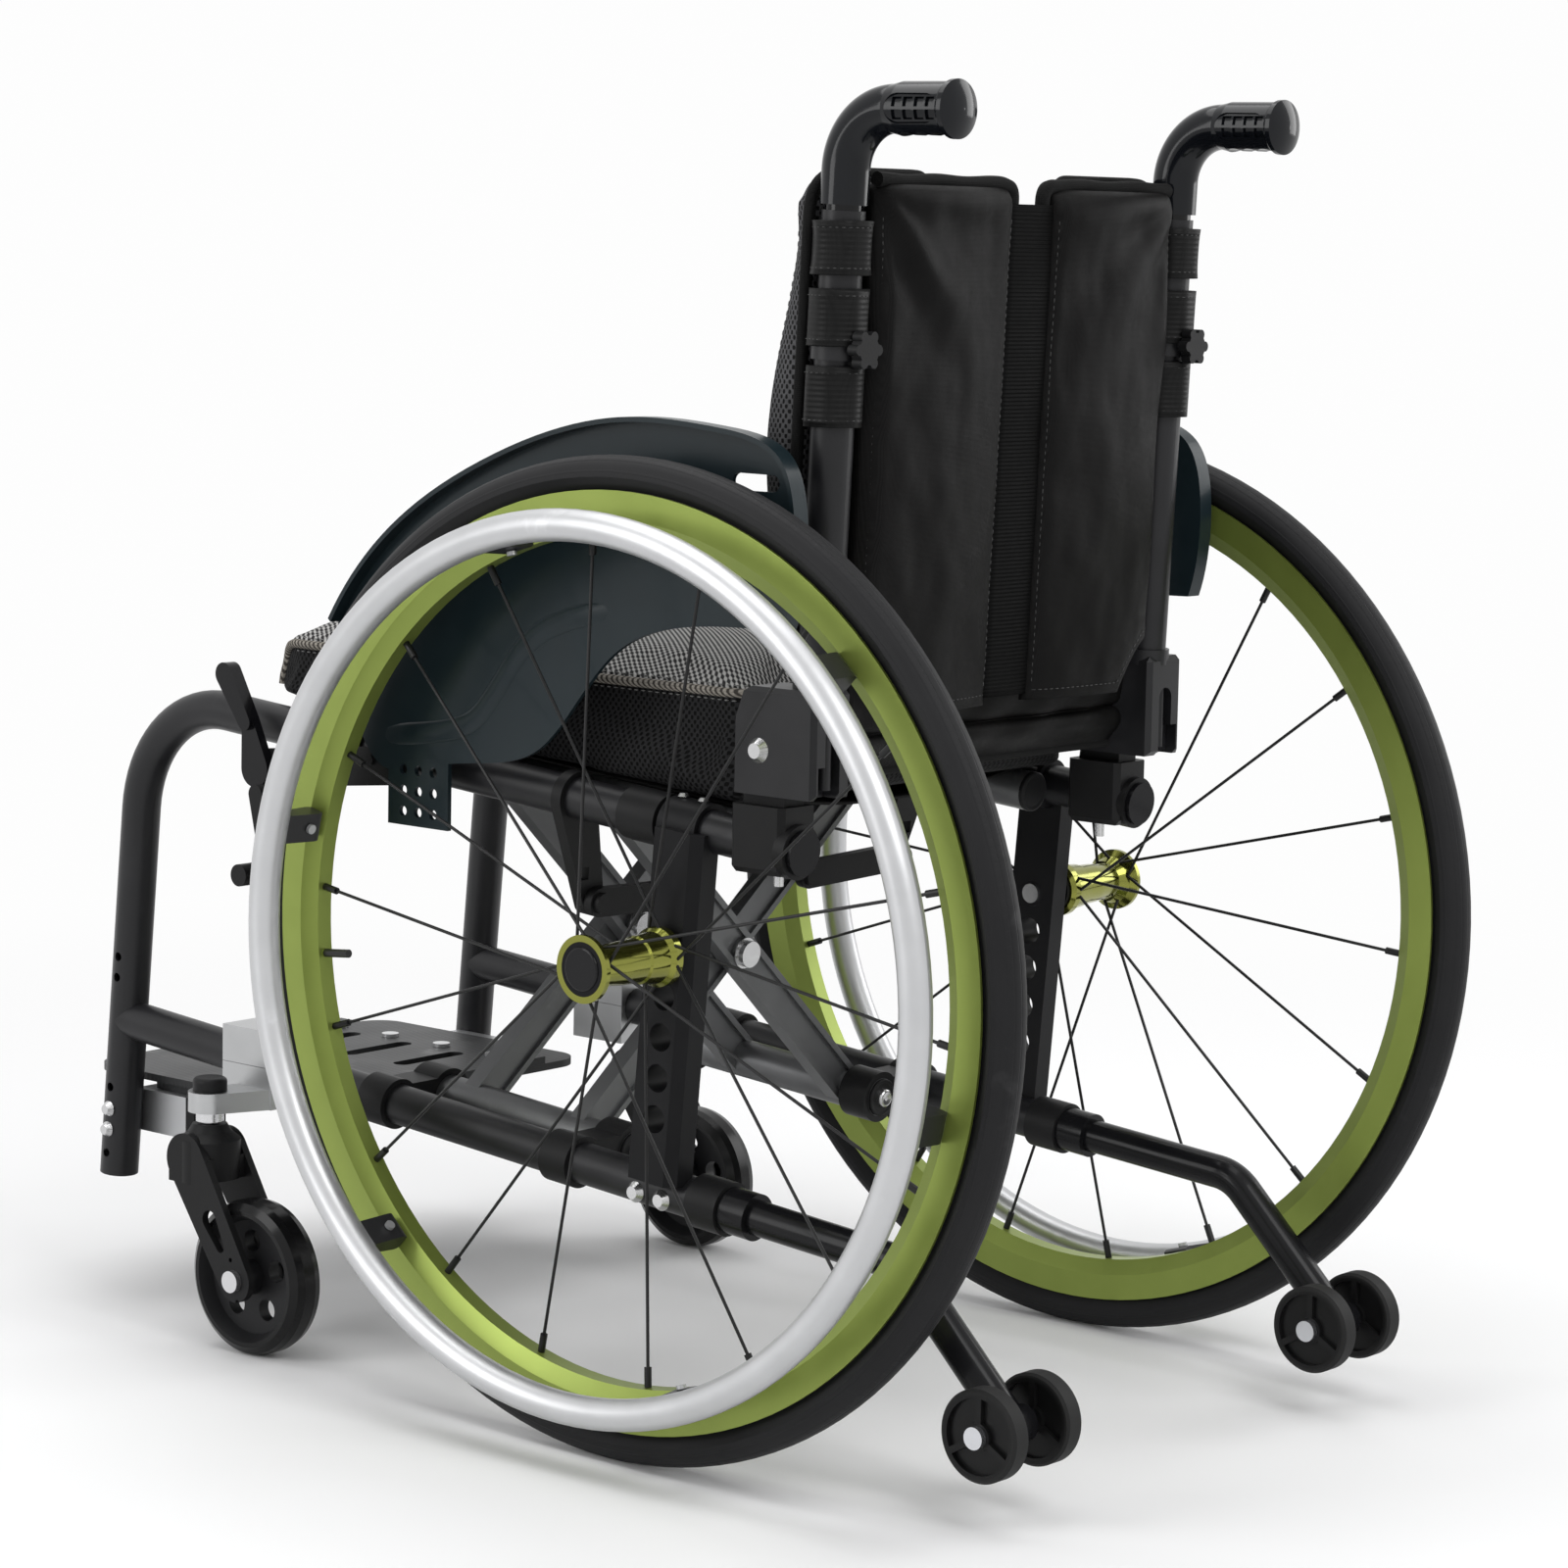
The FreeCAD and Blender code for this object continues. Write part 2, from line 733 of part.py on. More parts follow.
def cradle(y0):
    """Collar on the upper tube with an open trough under the seat tube."""
    y1 = y0 + cradle_length
    z = lower_line_height + upper_line_rise
    fit = tube_radius + seat_clearance
    collar = rod(V(side_plane, y0, z), V(side_plane, y1, z), tube_radius + collar_wall)
    trough = rod(V(seat_tube_x, y0, z), V(seat_tube_x, y1, z), fit + cradle_wall)
    web = block(seat_tube_x, side_plane, y0, y1, z - fit - cradle_wall, z - fit + cradle_lip)
    body = collar.fuse(trough.fuse(web).common(block(seat_tube_x - fit - cradle_wall, side_plane, y0, y1,
                                                     z - fit - cradle_wall, z - fit + cradle_lip)))
    body = body.cut(rod(V(side_plane, y0 - overrun, z), V(side_plane, y1 + overrun, z),
                        tube_radius + running_clearance))
    return body.cut(rod(V(seat_tube_x, y0 - overrun, z), V(seat_tube_x, y1 + overrun, z), fit))


def link_bracket():
    """Plate under the upper tube that holds the stabiliser link's bolt."""
    y1 = link_y() - seat_clearance
    y0 = y1 - link_plate_thickness
    z = lower_line_height + upper_line_rise
    pivot = (link_pivot_x, lower_line_height + link_pivot_height)
    plate = spread(lobe("y", pivot, link_width / 2, (side_plane, z), tube_radius + collar_wall), "y", y0, y1)
    plate = plate.cut(rod(V(side_plane, y0 - overrun, z), V(side_plane, y1 + overrun, z),
                          tube_radius + running_clearance))
    middle_x = (link_pivot_x + side_plane) / 2
    middle_z = pivot[1] + link_width
    half = link_hole / 2
    return plate.cut(block(middle_x - half, middle_x + half, y0 - overrun, y1 + overrun,
                           middle_z - half, middle_z + half))


def link_y():
    return brace_rear + bar_gap / 2 + bar_thickness + seat_clearance


def stabiliser_link():
    """Flat link from the bracket to the rising brace bar, with a bolt at each end."""
    low = link_y()
    pivot = (link_pivot_x, lower_line_height + link_pivot_height)
    end = link_end()
    plate = spread(lobe("y", pivot, link_width / 2, end, link_width / 2), "y", low, low + link_thickness)
    heads = [rod(V(x, low + link_thickness, z), V(x, low + link_thickness + bolt_head, z), bolt_head_radius)
             for x, z in (pivot, end)]
    return plate.fuse(heads[0]).fuse(heads[1])


def brace_centre_rise():
    return upper_line_rise * lower_pivot_x / (lower_pivot_x + seat_tube_x)


def link_end():
    """Where the link meets the bar that rises to the seat tube on its own side."""
    rise = brace_centre_rise()
    return (seat_tube_x * link_end_share,
            lower_line_height + rise + (upper_line_rise - rise) * link_end_share)


def grooved_bar(start, end, y0):
    """Flat bar between two places in the XZ plane, with a groove down both faces."""
    bar = spread(lobe("y", start, bar_width / 2, end, bar_width / 2), "y", y0, y0 + bar_thickness)
    inner = spread(lobe("y", start, bar_width / 2 - bar_flange, end, bar_width / 2 - bar_flange),
                   "y", y0 - overrun, y0 + bar_groove)
    back = inner.copy()
    back.translate(V(0, bar_thickness + overrun - bar_groove, 0))
    boss = rod(V(0, y0, lower_line_height + brace_centre_rise()),
               V(0, y0 + bar_thickness, lower_line_height + brace_centre_rise()), washer_radius)
    return bar.cut(inner).cut(back).fuse(boss)


def brace(step):
    """Lower pivot tube, two bars and the seat tube on the other side, as one weldment."""
    z0 = lower_line_height
    z1 = lower_line_height + upper_line_rise
    low = V(lower_pivot_x, lower_pivot_front, z0)
    high = V(-seat_tube_x, seat_tube_front, z1)
    tubes = [(low, V(lower_pivot_x, lower_pivot_rear, z0)), (high, V(-seat_tube_x, seat_tube_rear, z1))]
    body = None
    bars = [grooved_bar((lower_pivot_x, z0), (-seat_tube_x, z1), middle + step)
            for middle in (brace_front, brace_rear)]
    hole_z = lower_line_height + brace_centre_rise()
    body = rod(*tubes[0], tube_radius).fuse(rod(*tubes[1], tube_radius)).fuse(bars[0]).fuse(bars[1])
    for start, end in tubes:
        line = V(0, overrun, 0)
        body = body.cut(rod(start.sub(line), end.add(line), tube_radius - tube_wall))
    through = rod(V(0, seat_tube_front, hole_z), V(0, seat_tube_rear, hole_z),
                  centre_bolt_radius + running_clearance)
    return body.cut(through)


def centre_bolt(middle):
    """Bolt through both bars of one crossing, with a washer and a domed head behind."""
    z = lower_line_height + brace_centre_rise()
    front = middle - bar_gap / 2 - bar_thickness
    rear = middle + bar_gap / 2 + bar_thickness
    shaft = rod(V(0, front - centre_bolt_head, z), V(0, rear + washer_thickness, z), centre_bolt_radius)
    nut = rod(V(0, front - centre_bolt_head, z), V(0, front - seat_clearance, z), centre_bolt_head_radius)
    washer = rod(V(0, rear + seat_clearance, z), V(0, rear + washer_thickness, z), washer_radius)
    head = rod(V(0, rear + washer_thickness, z), V(0, rear + washer_thickness + centre_bolt_head, z),
               centre_bolt_head_radius)
    return shaft.fuse(nut).fuse(washer).fuse(head)


# Backrest

def hinge_base():
    """Casting on the rear end of the upper tube, with a tongue that the post's foot turns on."""
    body = block(hinge_plane - base_half_width, hinge_plane + base_half_width, base_front, base_rear,
                 base_bottom, base_top)
    rims = [edge for edge in body.Edges if edge.BoundBox.ZMax < base_top or edge.BoundBox.ZLength > base_chamfer]
    body = body.makeChamfer(base_chamfer, rims)
    y_mid = (base_front + base_rear) / 2
    tongue = spread(lobe("x", (back_pivot_y, back_pivot_z), tongue_radius,
                         (y_mid, base_top - base_chamfer), tongue_foot_radius),
                    "x", hinge_plane - tongue_half_width, hinge_plane + tongue_half_width)
    ring = rod(V(side_plane, base_rear - overrun, on_upper(base_rear - overrun)),
               V(side_plane, base_rear + end_ring_length, on_upper(base_rear + end_ring_length)),
               end_ring_radius)
    body = body.fuse(tongue).fuse(ring)
    bore = rod(V(side_plane, base_front - overrun, on_upper(base_front - overrun)),
               V(side_plane, base_rear + overrun, on_upper(base_rear + overrun)),
               tube_radius + running_clearance)
    bolt_hole = rod(V(hinge_plane - base_half_width, back_pivot_y, back_pivot_z),
                    V(hinge_plane + base_half_width, back_pivot_y, back_pivot_z),
                    back_bolt_radius + running_clearance)
    return body.cut(bore).cut(bolt_hole)


def post_y(z):
    return post_base_y + (z - post_base_z) * post_lean


def post_point(z, x=post_plane):
    return V(x, post_y(z), z)


def post_line():
    return V(0, post_lean, 1).normalize()


def post_foot():
    """Casting under the post: open in front and below for the tongue, with the lock's slot behind."""
    x0 = hinge_plane - foot_half_width
    x1 = hinge_plane + foot_half_width
    outline = [(foot_front, foot_bottom), (foot_rear, foot_bottom), (foot_rear, foot_top),
               (foot_shoulder, foot_top), (foot_front, foot_shoulder_height)]
    body = spread(polygon("x", outline), "x", x0, x1)
    rims = [edge for edge in body.Edges if edge.BoundBox.YMin > foot_rear - foot_chamfer
            or edge.BoundBox.ZMin > foot_top - foot_chamfer]
    body = body.makeChamfer(foot_chamfer, rims)
    cavity = tongue_half_width + seat_clearance
    body = body.cut(block(hinge_plane - cavity, hinge_plane + cavity, foot_front - overrun, cavity_rear,
                          foot_bottom - overrun, cavity_roof))
    inner = foot_rear - slot_depth
    slot = lobe("y", (hinge_plane, slot_top - slot_half_width), slot_half_width,
                (hinge_plane, slot_bottom), slot_half_width * 0.98)
    notch = block(hinge_plane, hinge_plane + notch_reach, foot_rear - notch_depth, foot_rear + overrun,
                  slot_bottom - slot_half_width, slot_bottom + notch_height)
    body = body.cut(spread(slot, "y", inner, foot_rear + overrun)).cut(notch)
    body = body.cut(block(hinge_plane - slot_half_width, hinge_plane + notch_reach, inner,
                          foot_rear + overrun, foot_bottom - overrun, slot_bottom - slot_half_width / 2))
    plunger = rod(V(hinge_plane, foot_rear - slot_depth / 2, slot_bottom),
                  V(hinge_plane, foot_rear - slot_depth / 2, slot_top + overrun), plunger_radius)
    return body.fuse(plunger)


def back_post():
    """The foot casting, the tube and the clamp for the handle."""
    foot = post_foot()
    top = post_point(post_base_z).add(post_line() * post_length)
    tube = rod(post_point(foot_top - overrun), top, tube_radius)
    clamp_at = post_point(clamp_height)
    clamp = rod(clamp_at.sub(post_line() * (clamp_length / 2)), clamp_at.add(post_line() * (clamp_length / 2)),
                clamp_radius)
    socket = rod(post_point(foot_top - overrun), post_point(foot_top + foot_collar / 2), clamp_radius)
    body = foot.fuse(tube).fuse(clamp).fuse(socket)
    bore = rod(post_point(foot_top), top.add(post_line() * overrun), slide_tube_radius + running_clearance)
    pivot = rod(V(hinge_plane - foot_half_width - overrun, back_pivot_y, back_pivot_z),
                V(hinge_plane + foot_half_width + overrun, back_pivot_y, back_pivot_z),
                back_bolt_radius + running_clearance)
    return body.cut(bore).cut(pivot)


def handle_path():
    start = post_point(post_base_z).add(post_line() * (post_length - handle_insert))
    corner_y = post_y(handle_height)
    points = [start, V(post_plane, corner_y, handle_height), V(post_plane, handle_end, handle_height)]
    return bent_wire(points, handle_bend_radius)


def push_handle():
    """Tube that slides in the post and bends back to the grip."""
    path = handle_path()
    return pipe(path, slide_tube_radius).cut(pipe(path, slide_tube_radius - tube_wall))


def grip_point(y, radius=0.0):
    return V(post_plane, y, handle_height + radius)


def grip_body():
    """The straight part: tapers up from the bend, then swells to a low dome at the end."""
    rim_y = grip_end - grip_dome
    bead = rim_y - grip_end_width
    dome_radius = (grip_end_radius ** 2 + grip_dome ** 2) / (2 * grip_dome)
    half = math.asin(grip_end_radius / dome_radius) / 2
    middle = grip_point(grip_end - dome_radius * (1 - math.cos(half)), dome_radius * math.sin(half))
    corners = [grip_point(grip_end), grip_point(grip_start),
               grip_point(grip_start, grip_sleeve_radius * 0.96),
               grip_point(grip_start + grip_taper, grip_radius), grip_point(bead, grip_radius),
               grip_point(bead + grip_dome / 2, grip_end_radius), grip_point(rim_y, grip_end_radius)]
    edges = [Part.LineSegment(a, b).toShape() for a, b in zip(corners, corners[1:])]
    dome = Part.Arc(corners[-1], middle, corners[0]).toShape()
    face = Part.Face(Part.Wire(edges + [dome]))
    return face.revolve(grip_point(grip_start), V(0, 1, 0), 360)


def grip_windows():
    """On both sides, a round-ended panel with a grid of shallow cells in it."""
    cuts = []
    start = grip_start + grip_taper
    end = grip_end - grip_dome - grip_end_width
    first = (start + end) / 2 - window_columns * (window_size + window_gap) / 2 + window_gap / 2
    reach = grip_radius + overrun
    for side in (-1, 1):
        near, far = sorted((post_plane, post_plane + side * reach))
        panel = lobe("x", (start + panel_radius / 2, handle_height), panel_radius,
                     (end - panel_radius, handle_height), panel_radius * 0.98)
        core = rod(grip_point(grip_start), grip_point(grip_end), grip_radius - panel_depth)
        cuts.append(spread(panel, "x", near, far).cut(core))
        core = rod(grip_point(grip_start), grip_point(grip_end), grip_radius - panel_depth - window_depth)
        for row in range(window_rows):
            for column in range(window_columns):
                y = first + (window_size + window_gap) * column
                z = handle_height + (window_height + window_gap) * (row - window_rows / 2) + window_gap / 2
                cuts.append(block(near, far, y, y + window_size, z, z + window_height).cut(core))
    return cuts


def grip():
    """Moulded grip: a sleeve up the post and round the bend, then the handle with finger waves below."""
    low = post_point(grip_bottom)
    corner = grip_point(post_y(handle_height))
    start = grip_start + grip_taper
    body = elbow(low, corner, grip_point(start), handle_bend_radius, grip_sleeve_radius).fuse(grip_body())
    pitch = (grip_end - grip_dome - grip_end_width - start) / grip_wave_count
    for number in range(grip_wave_count):
        middle = grip_point(start + pitch * (number + 1 / 2), -grip_radius - pitch + grip_wave_depth)
        across = V(grip_end_radius, 0, 0)
        body = body.cut(rod(middle.sub(across), middle.add(across), pitch))
    for cut in grip_windows():
        body = body.cut(cut)
    bore = elbow(low.sub(post_line() * overrun), corner, grip_point(handle_end), handle_bend_radius,
                 slide_tube_radius + running_clearance)
    return body.cut(bore)


def star_knob():
    """Lobed knob behind the clamp."""
    at = V(post_plane, post_y(clamp_height) + clamp_radius + seat_clearance, clamp_height)
    neck = rod(at, at.add(V(0, knob_neck, 0)), knob_neck_radius)
    face = at.add(V(0, knob_neck, 0))
    disc = rod(face, face.add(V(0, knob_thickness, 0)), knob_radius)
    lobe_at = face.add(V(knob_radius, 0, 0))
    one = rod(lobe_at, lobe_at.add(V(0, knob_thickness, 0)), knob_lobe_radius)
    return neck.fuse(disc).multiFuse(patterned(one, face, V(0, 1, 0), knob_lobes))


# Side guards

guard_top_shares = ((0.0, 0.477), (0.123, 0.688), (0.343, 0.88), (0.636, 1.0), (0.835, 0.992), (0.965, 0.93),
                    (0.995, 0.80), (0.976, 0.554))
guard_foot_shares = ((0.88, 0.55), (0.618, 0.465), (0.53, 0.33), (0.453, 0.219), (0.236, 0.154), (0.105, 0.135),
                     (0.04, 0.25))


def guard_place(shares):
    length = guard_rear - guard_front
    height = guard_top - guard_bottom
    return [V(0, guard_front + a * length, guard_bottom + b * height) for a, b in shares]


def spline(points):
    curve = Part.BSplineCurve()
    curve.interpolate(points)
    return curve.toShape()


def inset(points, distance):
    """Moves each point of a line to its right-hand side, square to its neighbours."""
    moved = []
    for number, point in enumerate(points):
        before = points[max(number - 1, 0)]
        after = points[min(number + 1, len(points) - 1)]
        line = after.sub(before).normalize()
        moved.append(point.add(V(0, line.z * distance, -line.y * distance)))
    return moved


def band(points, distance):
    inner = inset(points, distance)
    edges = [spline(points), Part.LineSegment(points[-1], inner[-1]).toShape(), spline(inner[::-1]),
             Part.LineSegment(inner[0], points[0]).toShape()]
    return Part.Face(Part.Wire(edges))


def side_guard():
    """Moulded panel with an outward lip round its top and rear edge, and a drilled tab below."""
    upper = guard_place(guard_top_shares)
    lower = guard_place(guard_foot_shares)
    face = Part.Face(Part.Wire([spline(upper), spline(upper[-1:] + lower + upper[:1])]))
    panel = spread(face, "x", guard_plane, guard_plane + guard_thickness)
    lip = spread(band(upper, guard_thickness), "x", guard_plane, guard_plane + guard_lip)
    tab_y = guard_front + (guard_rear - guard_front) * guard_tab_share
    tab = block(guard_plane, guard_plane + guard_thickness, tab_y, tab_y + guard_tab_width,
                guard_bottom, guard_bottom + guard_tab_height)
    body = panel.fuse(lip).fuse(tab)
    for row in range(guard_hole_rows):
        for column in range(guard_hole_rows):
            y = tab_y + guard_tab_width / 2 + (column - 1) * guard_hole_pitch
            z = guard_bottom + guard_hole_pitch * (row + 2 / 3)
            body = body.cut(rod(V(guard_plane - overrun, y, z), V(guard_plane + overrun, y, z),
                                guard_hole_radius))
    slot_y = guard_rear - guard_slot_length * 2
    slot_z = guard_top - guard_slot_drop
    slot = lobe("x", (slot_y, slot_z), guard_slot_radius, (slot_y + guard_slot_length, slot_z),
                guard_slot_radius * 0.98)
    return body.cut(spread(slot, "x", guard_plane - overrun, guard_plane + overrun))


# Wheel locks

def lock_mount():
    """Plate along the outside of the upper tube with a collar and two screws."""
    x0 = side_plane + tube_radius + collar_wall
    x1 = x0 + lock_plate_thickness
    front = (lock_pivot_y, lock_pivot_z)
    rear = (lock_plate_rear, on_upper(lock_plate_rear) - tube_wall)
    plate = spread(lobe("x", front, lock_plate_half, rear, lock_plate_half), "x", x0, x1)
    y0 = lock_plate_rear - cradle_length
    collar = rod(V(side_plane, y0, on_upper(y0)), V(side_plane, lock_plate_rear, on_upper(lock_plate_rear)),
                 tube_radius + collar_wall)
    pad = block(side_plane, x0, y0, lock_plate_rear, on_upper(y0) - lock_plate_half, on_upper(y0) + tube_wall)
    body = plate.fuse(collar).fuse(pad)
    bore = rod(V(side_plane, y0 - overrun, on_upper(y0 - overrun)),
               V(side_plane, lock_plate_rear + overrun, on_upper(lock_plate_rear + overrun)),
               tube_radius + running_clearance)
    body = body.cut(bore)
    for number in (0, 1):
        y = lock_plate_rear - cradle_length * (number + 1 / 2) / 2
        head = rod(V(x1, y, on_upper(y) - tube_wall), V(x1 + bolt_head / 2, y, on_upper(y) - tube_wall),
                   lock_screw_radius)
        body = body.fuse(head)
    shoe_boss = rod(V(x0, shoe_pivot_y, shoe_pivot_z), V(x1, shoe_pivot_y, shoe_pivot_z), lock_plate_half)
    body = body.fuse(shoe_boss)
    for y, z in ((lock_pivot_y, lock_pivot_z), (shoe_pivot_y, shoe_pivot_z)):
        body = body.cut(rod(V(x0 - overrun, y, z), V(x1 + overrun, y, z), bolt_radius + running_clearance))
    return body


def lock_x():
    return side_plane + tube_radius + collar_wall + lock_plate_thickness


def lock_lever():
    """Hand lever with a spoon-shaped end, on its pivot pin."""
    x0 = lock_x() + seat_clearance
    x1 = x0 + lever_thickness
    tip = (lock_pivot_y - lever_length * math.sin(lever_lean),
           lock_pivot_z + lever_length * math.cos(lever_lean))
    knee = (lock_pivot_y + (tip[0] - lock_pivot_y) * 0.35 + lever_tip_radius / 3,
            lock_pivot_z + (tip[1] - lock_pivot_z) * 0.5)
    pivot = (lock_pivot_y, lock_pivot_z)
    lower = spread(lobe("x", pivot, lever_hub_radius, knee, lever_tip_radius * 0.7), "x", x0, x1)
    upper = spread(lobe("x", knee, lever_tip_radius * 0.7, tip, lever_tip_radius), "x", x0,
                   x1 + lever_thickness / 2)
    pin = rod(V(x0 - lock_plate_thickness, *pivot), V(x0, *pivot), bolt_radius)
    return lower.fuse(upper).fuse(pin)


def lock_shoe():
    """Short arm with a round bar that presses on the tyre."""
    x0 = lock_x() + lever_thickness * 2 + seat_clearance
    x1 = x0 + lever_thickness
    pivot = (shoe_pivot_y, shoe_pivot_z)
    foot = (shoe_pivot_y + shoe_reach * math.sin(shoe_start), shoe_pivot_z - shoe_reach * math.cos(shoe_start))
    arm = spread(lobe("x", pivot, shoe_arm_width / 2, foot, shoe_arm_width / 2), "x", x0, x1)
    bar = rod(V(x0, *foot), V(wheel_plane + shoe_rod_length / 2, *foot), shoe_rod_radius)
    pin = rod(V(lock_x() - lock_plate_thickness, *pivot), V(x0, *pivot), bolt_radius)
    return arm.fuse(bar).fuse(pin)


# Casters

def caster_arm():
    """Clamp round the lower tube and the arm that reaches out to the stem."""
    y0 = arm_clamp_front
    y1 = y0 + arm_clamp_length
    half = tube_radius + collar_wall
    clamp = block(side_plane - half, side_plane + half, y0, y1, arm_bottom, arm_clamp_top)
    arm_top = arm_bottom + arm_thickness
    arm = spread(lobe("z", (side_plane + half / 2, y0 + arm_clamp_length * 0.7), arm_ring_radius,
                      (caster_x, caster_stem_y), arm_ring_radius), "z", arm_bottom, arm_top)
    body = clamp.fuse(arm)
    body = body.cut(rod(V(side_plane, y0 - overrun, on_lower(y0 - overrun)),
                        V(side_plane, y1 + overrun, on_lower(y1 + overrun)), tube_radius + running_clearance))
    split_z = on_lower((y0 + y1) / 2)
    for x0, x1 in ((side_plane - half - overrun, side_plane - tube_radius),
                   (side_plane + tube_radius, side_plane + half + overrun)):
        body = body.cut(block(x0, x1, y0 - overrun, y1 + overrun, split_z, split_z + seat_clearance))
    stem = rod(V(caster_x, caster_stem_y, arm_bottom - overrun), V(caster_x, caster_stem_y, arm_top + overrun),
               stem_radius + running_clearance)
    return body.cut(stem)


def caster_stem_parts():
    """Stem, nut below the arm and domed cap above it."""
    arm_top = arm_bottom + arm_thickness
    stem = rod(V(caster_x, caster_stem_y, fork_crown_top - overrun),
               V(caster_x, caster_stem_y, arm_top + overrun), stem_radius)
    nut_top = arm_bottom - seat_clearance
    nut = rod(V(caster_x, caster_stem_y, nut_top - stem_nut_height), V(caster_x, caster_stem_y, nut_top),
              stem_nut_radius)
    cap = rod(V(caster_x, caster_stem_y, arm_top + seat_clearance),
              V(caster_x, caster_stem_y, arm_top + stem_cap_height), stem_cap_radius)
    cap = cap.makeFillet(stem_cap_height / 3, [cap.Edges[0]])
    return stem.fuse(nut).fuse(cap)


def caster_fork():
    """Crown under the stem and two swept blades with pockets and spare axle holes."""
    crown = turned([(0, 0), (0, fork_crown_radius * 0.55), (-overrun, fork_crown_radius * 0.7),
                    (-overrun * 2, fork_crown_radius), (fork_crown_bottom - fork_crown_top, fork_crown_radius),
                    (fork_crown_bottom - fork_crown_top, 0)],
                   V(caster_x, caster_stem_y, fork_crown_top), V(0, 0, 1))
    axle_at = (caster_stem_y + caster_trail, caster_radius)
    neck_at = (caster_stem_y - fork_neck_radius / 8, fork_crown_bottom + fork_neck_radius * 0.9)
    half = caster_width / 2 + fork_gap
    blades = []
    for x0 in (caster_x - half - fork_blade, caster_x + half):
        top = lobe("x", neck_at, fork_neck_radius, axle_at, fork_foot_radius)
        blade = spread(top, "x", x0, x0 + fork_blade)
        middle = ((neck_at[0] + axle_at[0]) / 2, (neck_at[1] + axle_at[1]) / 2)
        low = (middle[0] * 0.55 + axle_at[0] * 0.45, middle[1] * 0.55 + axle_at[1] * 0.45)
        pocket = lobe("x", middle, fork_foot_radius * 0.45, low, fork_foot_radius * 0.25)
        blade = blade.cut(spread(pocket, "x", x0 - overrun, x0 + fork_blade + overrun))
        for step in (-1, 0, 1):
            y = axle_at[0] - step * fork_hole_pitch * 0.25
            z = axle_at[1] + step * fork_hole_pitch
            if step:
                blade = blade.cut(rod(V(x0 - overrun, y, z), V(x0 + fork_blade + overrun, y, z),
                                      fork_hole_radius / 2))
        blades.append(blade)
    gap = block(caster_x - half, caster_x + half, caster_stem_y - caster_radius,
                caster_stem_y + caster_radius * 2, 0, fork_crown_bottom + fork_gap)
    shoulder = block(caster_x - half - fork_blade, caster_x + half + fork_blade,
                     caster_stem_y - fork_neck_radius, caster_stem_y + fork_neck_radius,
                     fork_crown_bottom, fork_crown_bottom + fork_neck_radius)
    body = crown.fuse(shoulder).cut(gap).fuse(blades[0]).fuse(blades[1])
    reach = half + fork_blade
    axle_pin = rod(V(caster_x - reach, *axle_at), V(caster_x + reach, *axle_at), fork_axle_radius)
    nuts = [rod(V(x, *axle_at), V(x + fork_nut, *axle_at), fork_nut_radius)
            for x in (caster_x - reach - fork_nut, caster_x + reach)]
    return body.fuse(axle_pin).fuse(nuts[0]).fuse(nuts[1]).fuse(caster_stem_parts())


def caster_wheel():
    """Moulded wheel with cut-outs between its spokes and a round tread."""
    centre = V(caster_x, caster_stem_y + caster_trail, caster_radius)
    half = caster_width / 2
    tread = caster_radius - caster_tyre
    bore = fork_axle_radius + running_clearance
    outline = [(-half, bore), (-half, caster_hub_radius), (-caster_web / 2, caster_hub_radius),
               (-caster_web / 2, tread - caster_tyre / 2), (-half, tread), (-half, tread + caster_tyre / 3),
               (-half * 0.75, caster_radius - caster_tyre / 6), (-half * 0.35, caster_radius),
               (half * 0.35, caster_radius), (half * 0.75, caster_radius - caster_tyre / 6),
               (half, tread + caster_tyre / 3), (half, tread), (caster_web / 2, tread - caster_tyre / 2),
               (caster_web / 2, caster_hub_radius), (half, caster_hub_radius), (half, bore)]
    wheel = turned(outline, centre)
    middle = (tread - caster_tyre / 2 + caster_hub_radius) / 2
    hole = rod(centre.add(V(-half, 0, middle)), centre.add(V(half, 0, middle)), caster_tyre * 0.8)
    for cut in patterned(hole, centre, V(1, 0, 0), caster_spokes):
        wheel = wheel.cut(cut)
    return wheel


# Anti-tip tubes

def tip_path():
    start_y = lower_tube_end - tip_insert
    points = [V(side_plane, start_y, on_lower(start_y)), V(side_plane, tip_bend_y, on_lower(tip_bend_y)),
              V(side_plane, tip_axle_y, tip_axle_z)]
    return bent_wire(points, tip_bend_radius)


def tip_tube():
    """Bent tube with the axle that carries a wheel on each side."""
    path = tip_path()
    tube = pipe(path, tip_radius).cut(pipe(path, tip_radius - tip_wall))
    reach = tip_wheel_offset + tip_wheel_width / 2
    axle_at = V(side_plane, tip_axle_y, tip_axle_z)
    boss = rod(axle_at.sub(V(tip_radius, 0, 0)), axle_at.add(V(tip_radius, 0, 0)), tip_boss_radius)
    pin = rod(axle_at.sub(V(reach, 0, 0)), axle_at.add(V(reach, 0, 0)), tip_axle_radius)
    nuts = [rod(axle_at.add(V(x, 0, 0)), axle_at.add(V(x + tip_nut, 0, 0)), tip_nut_radius)
            for x in (-reach - tip_nut, reach)]
    y0 = lower_tube_end + collar_length / 2
    y1 = y0 + inner_collar_length
    sleeve = ring(V(side_plane, y0, on_lower(y0)), V(side_plane, y1, on_lower(y1)), inner_collar_radius,
                  tip_radius - tip_wall / 2)
    return tube.fuse(boss).fuse(pin).fuse(nuts[0]).fuse(nuts[1]).fuse(sleeve)


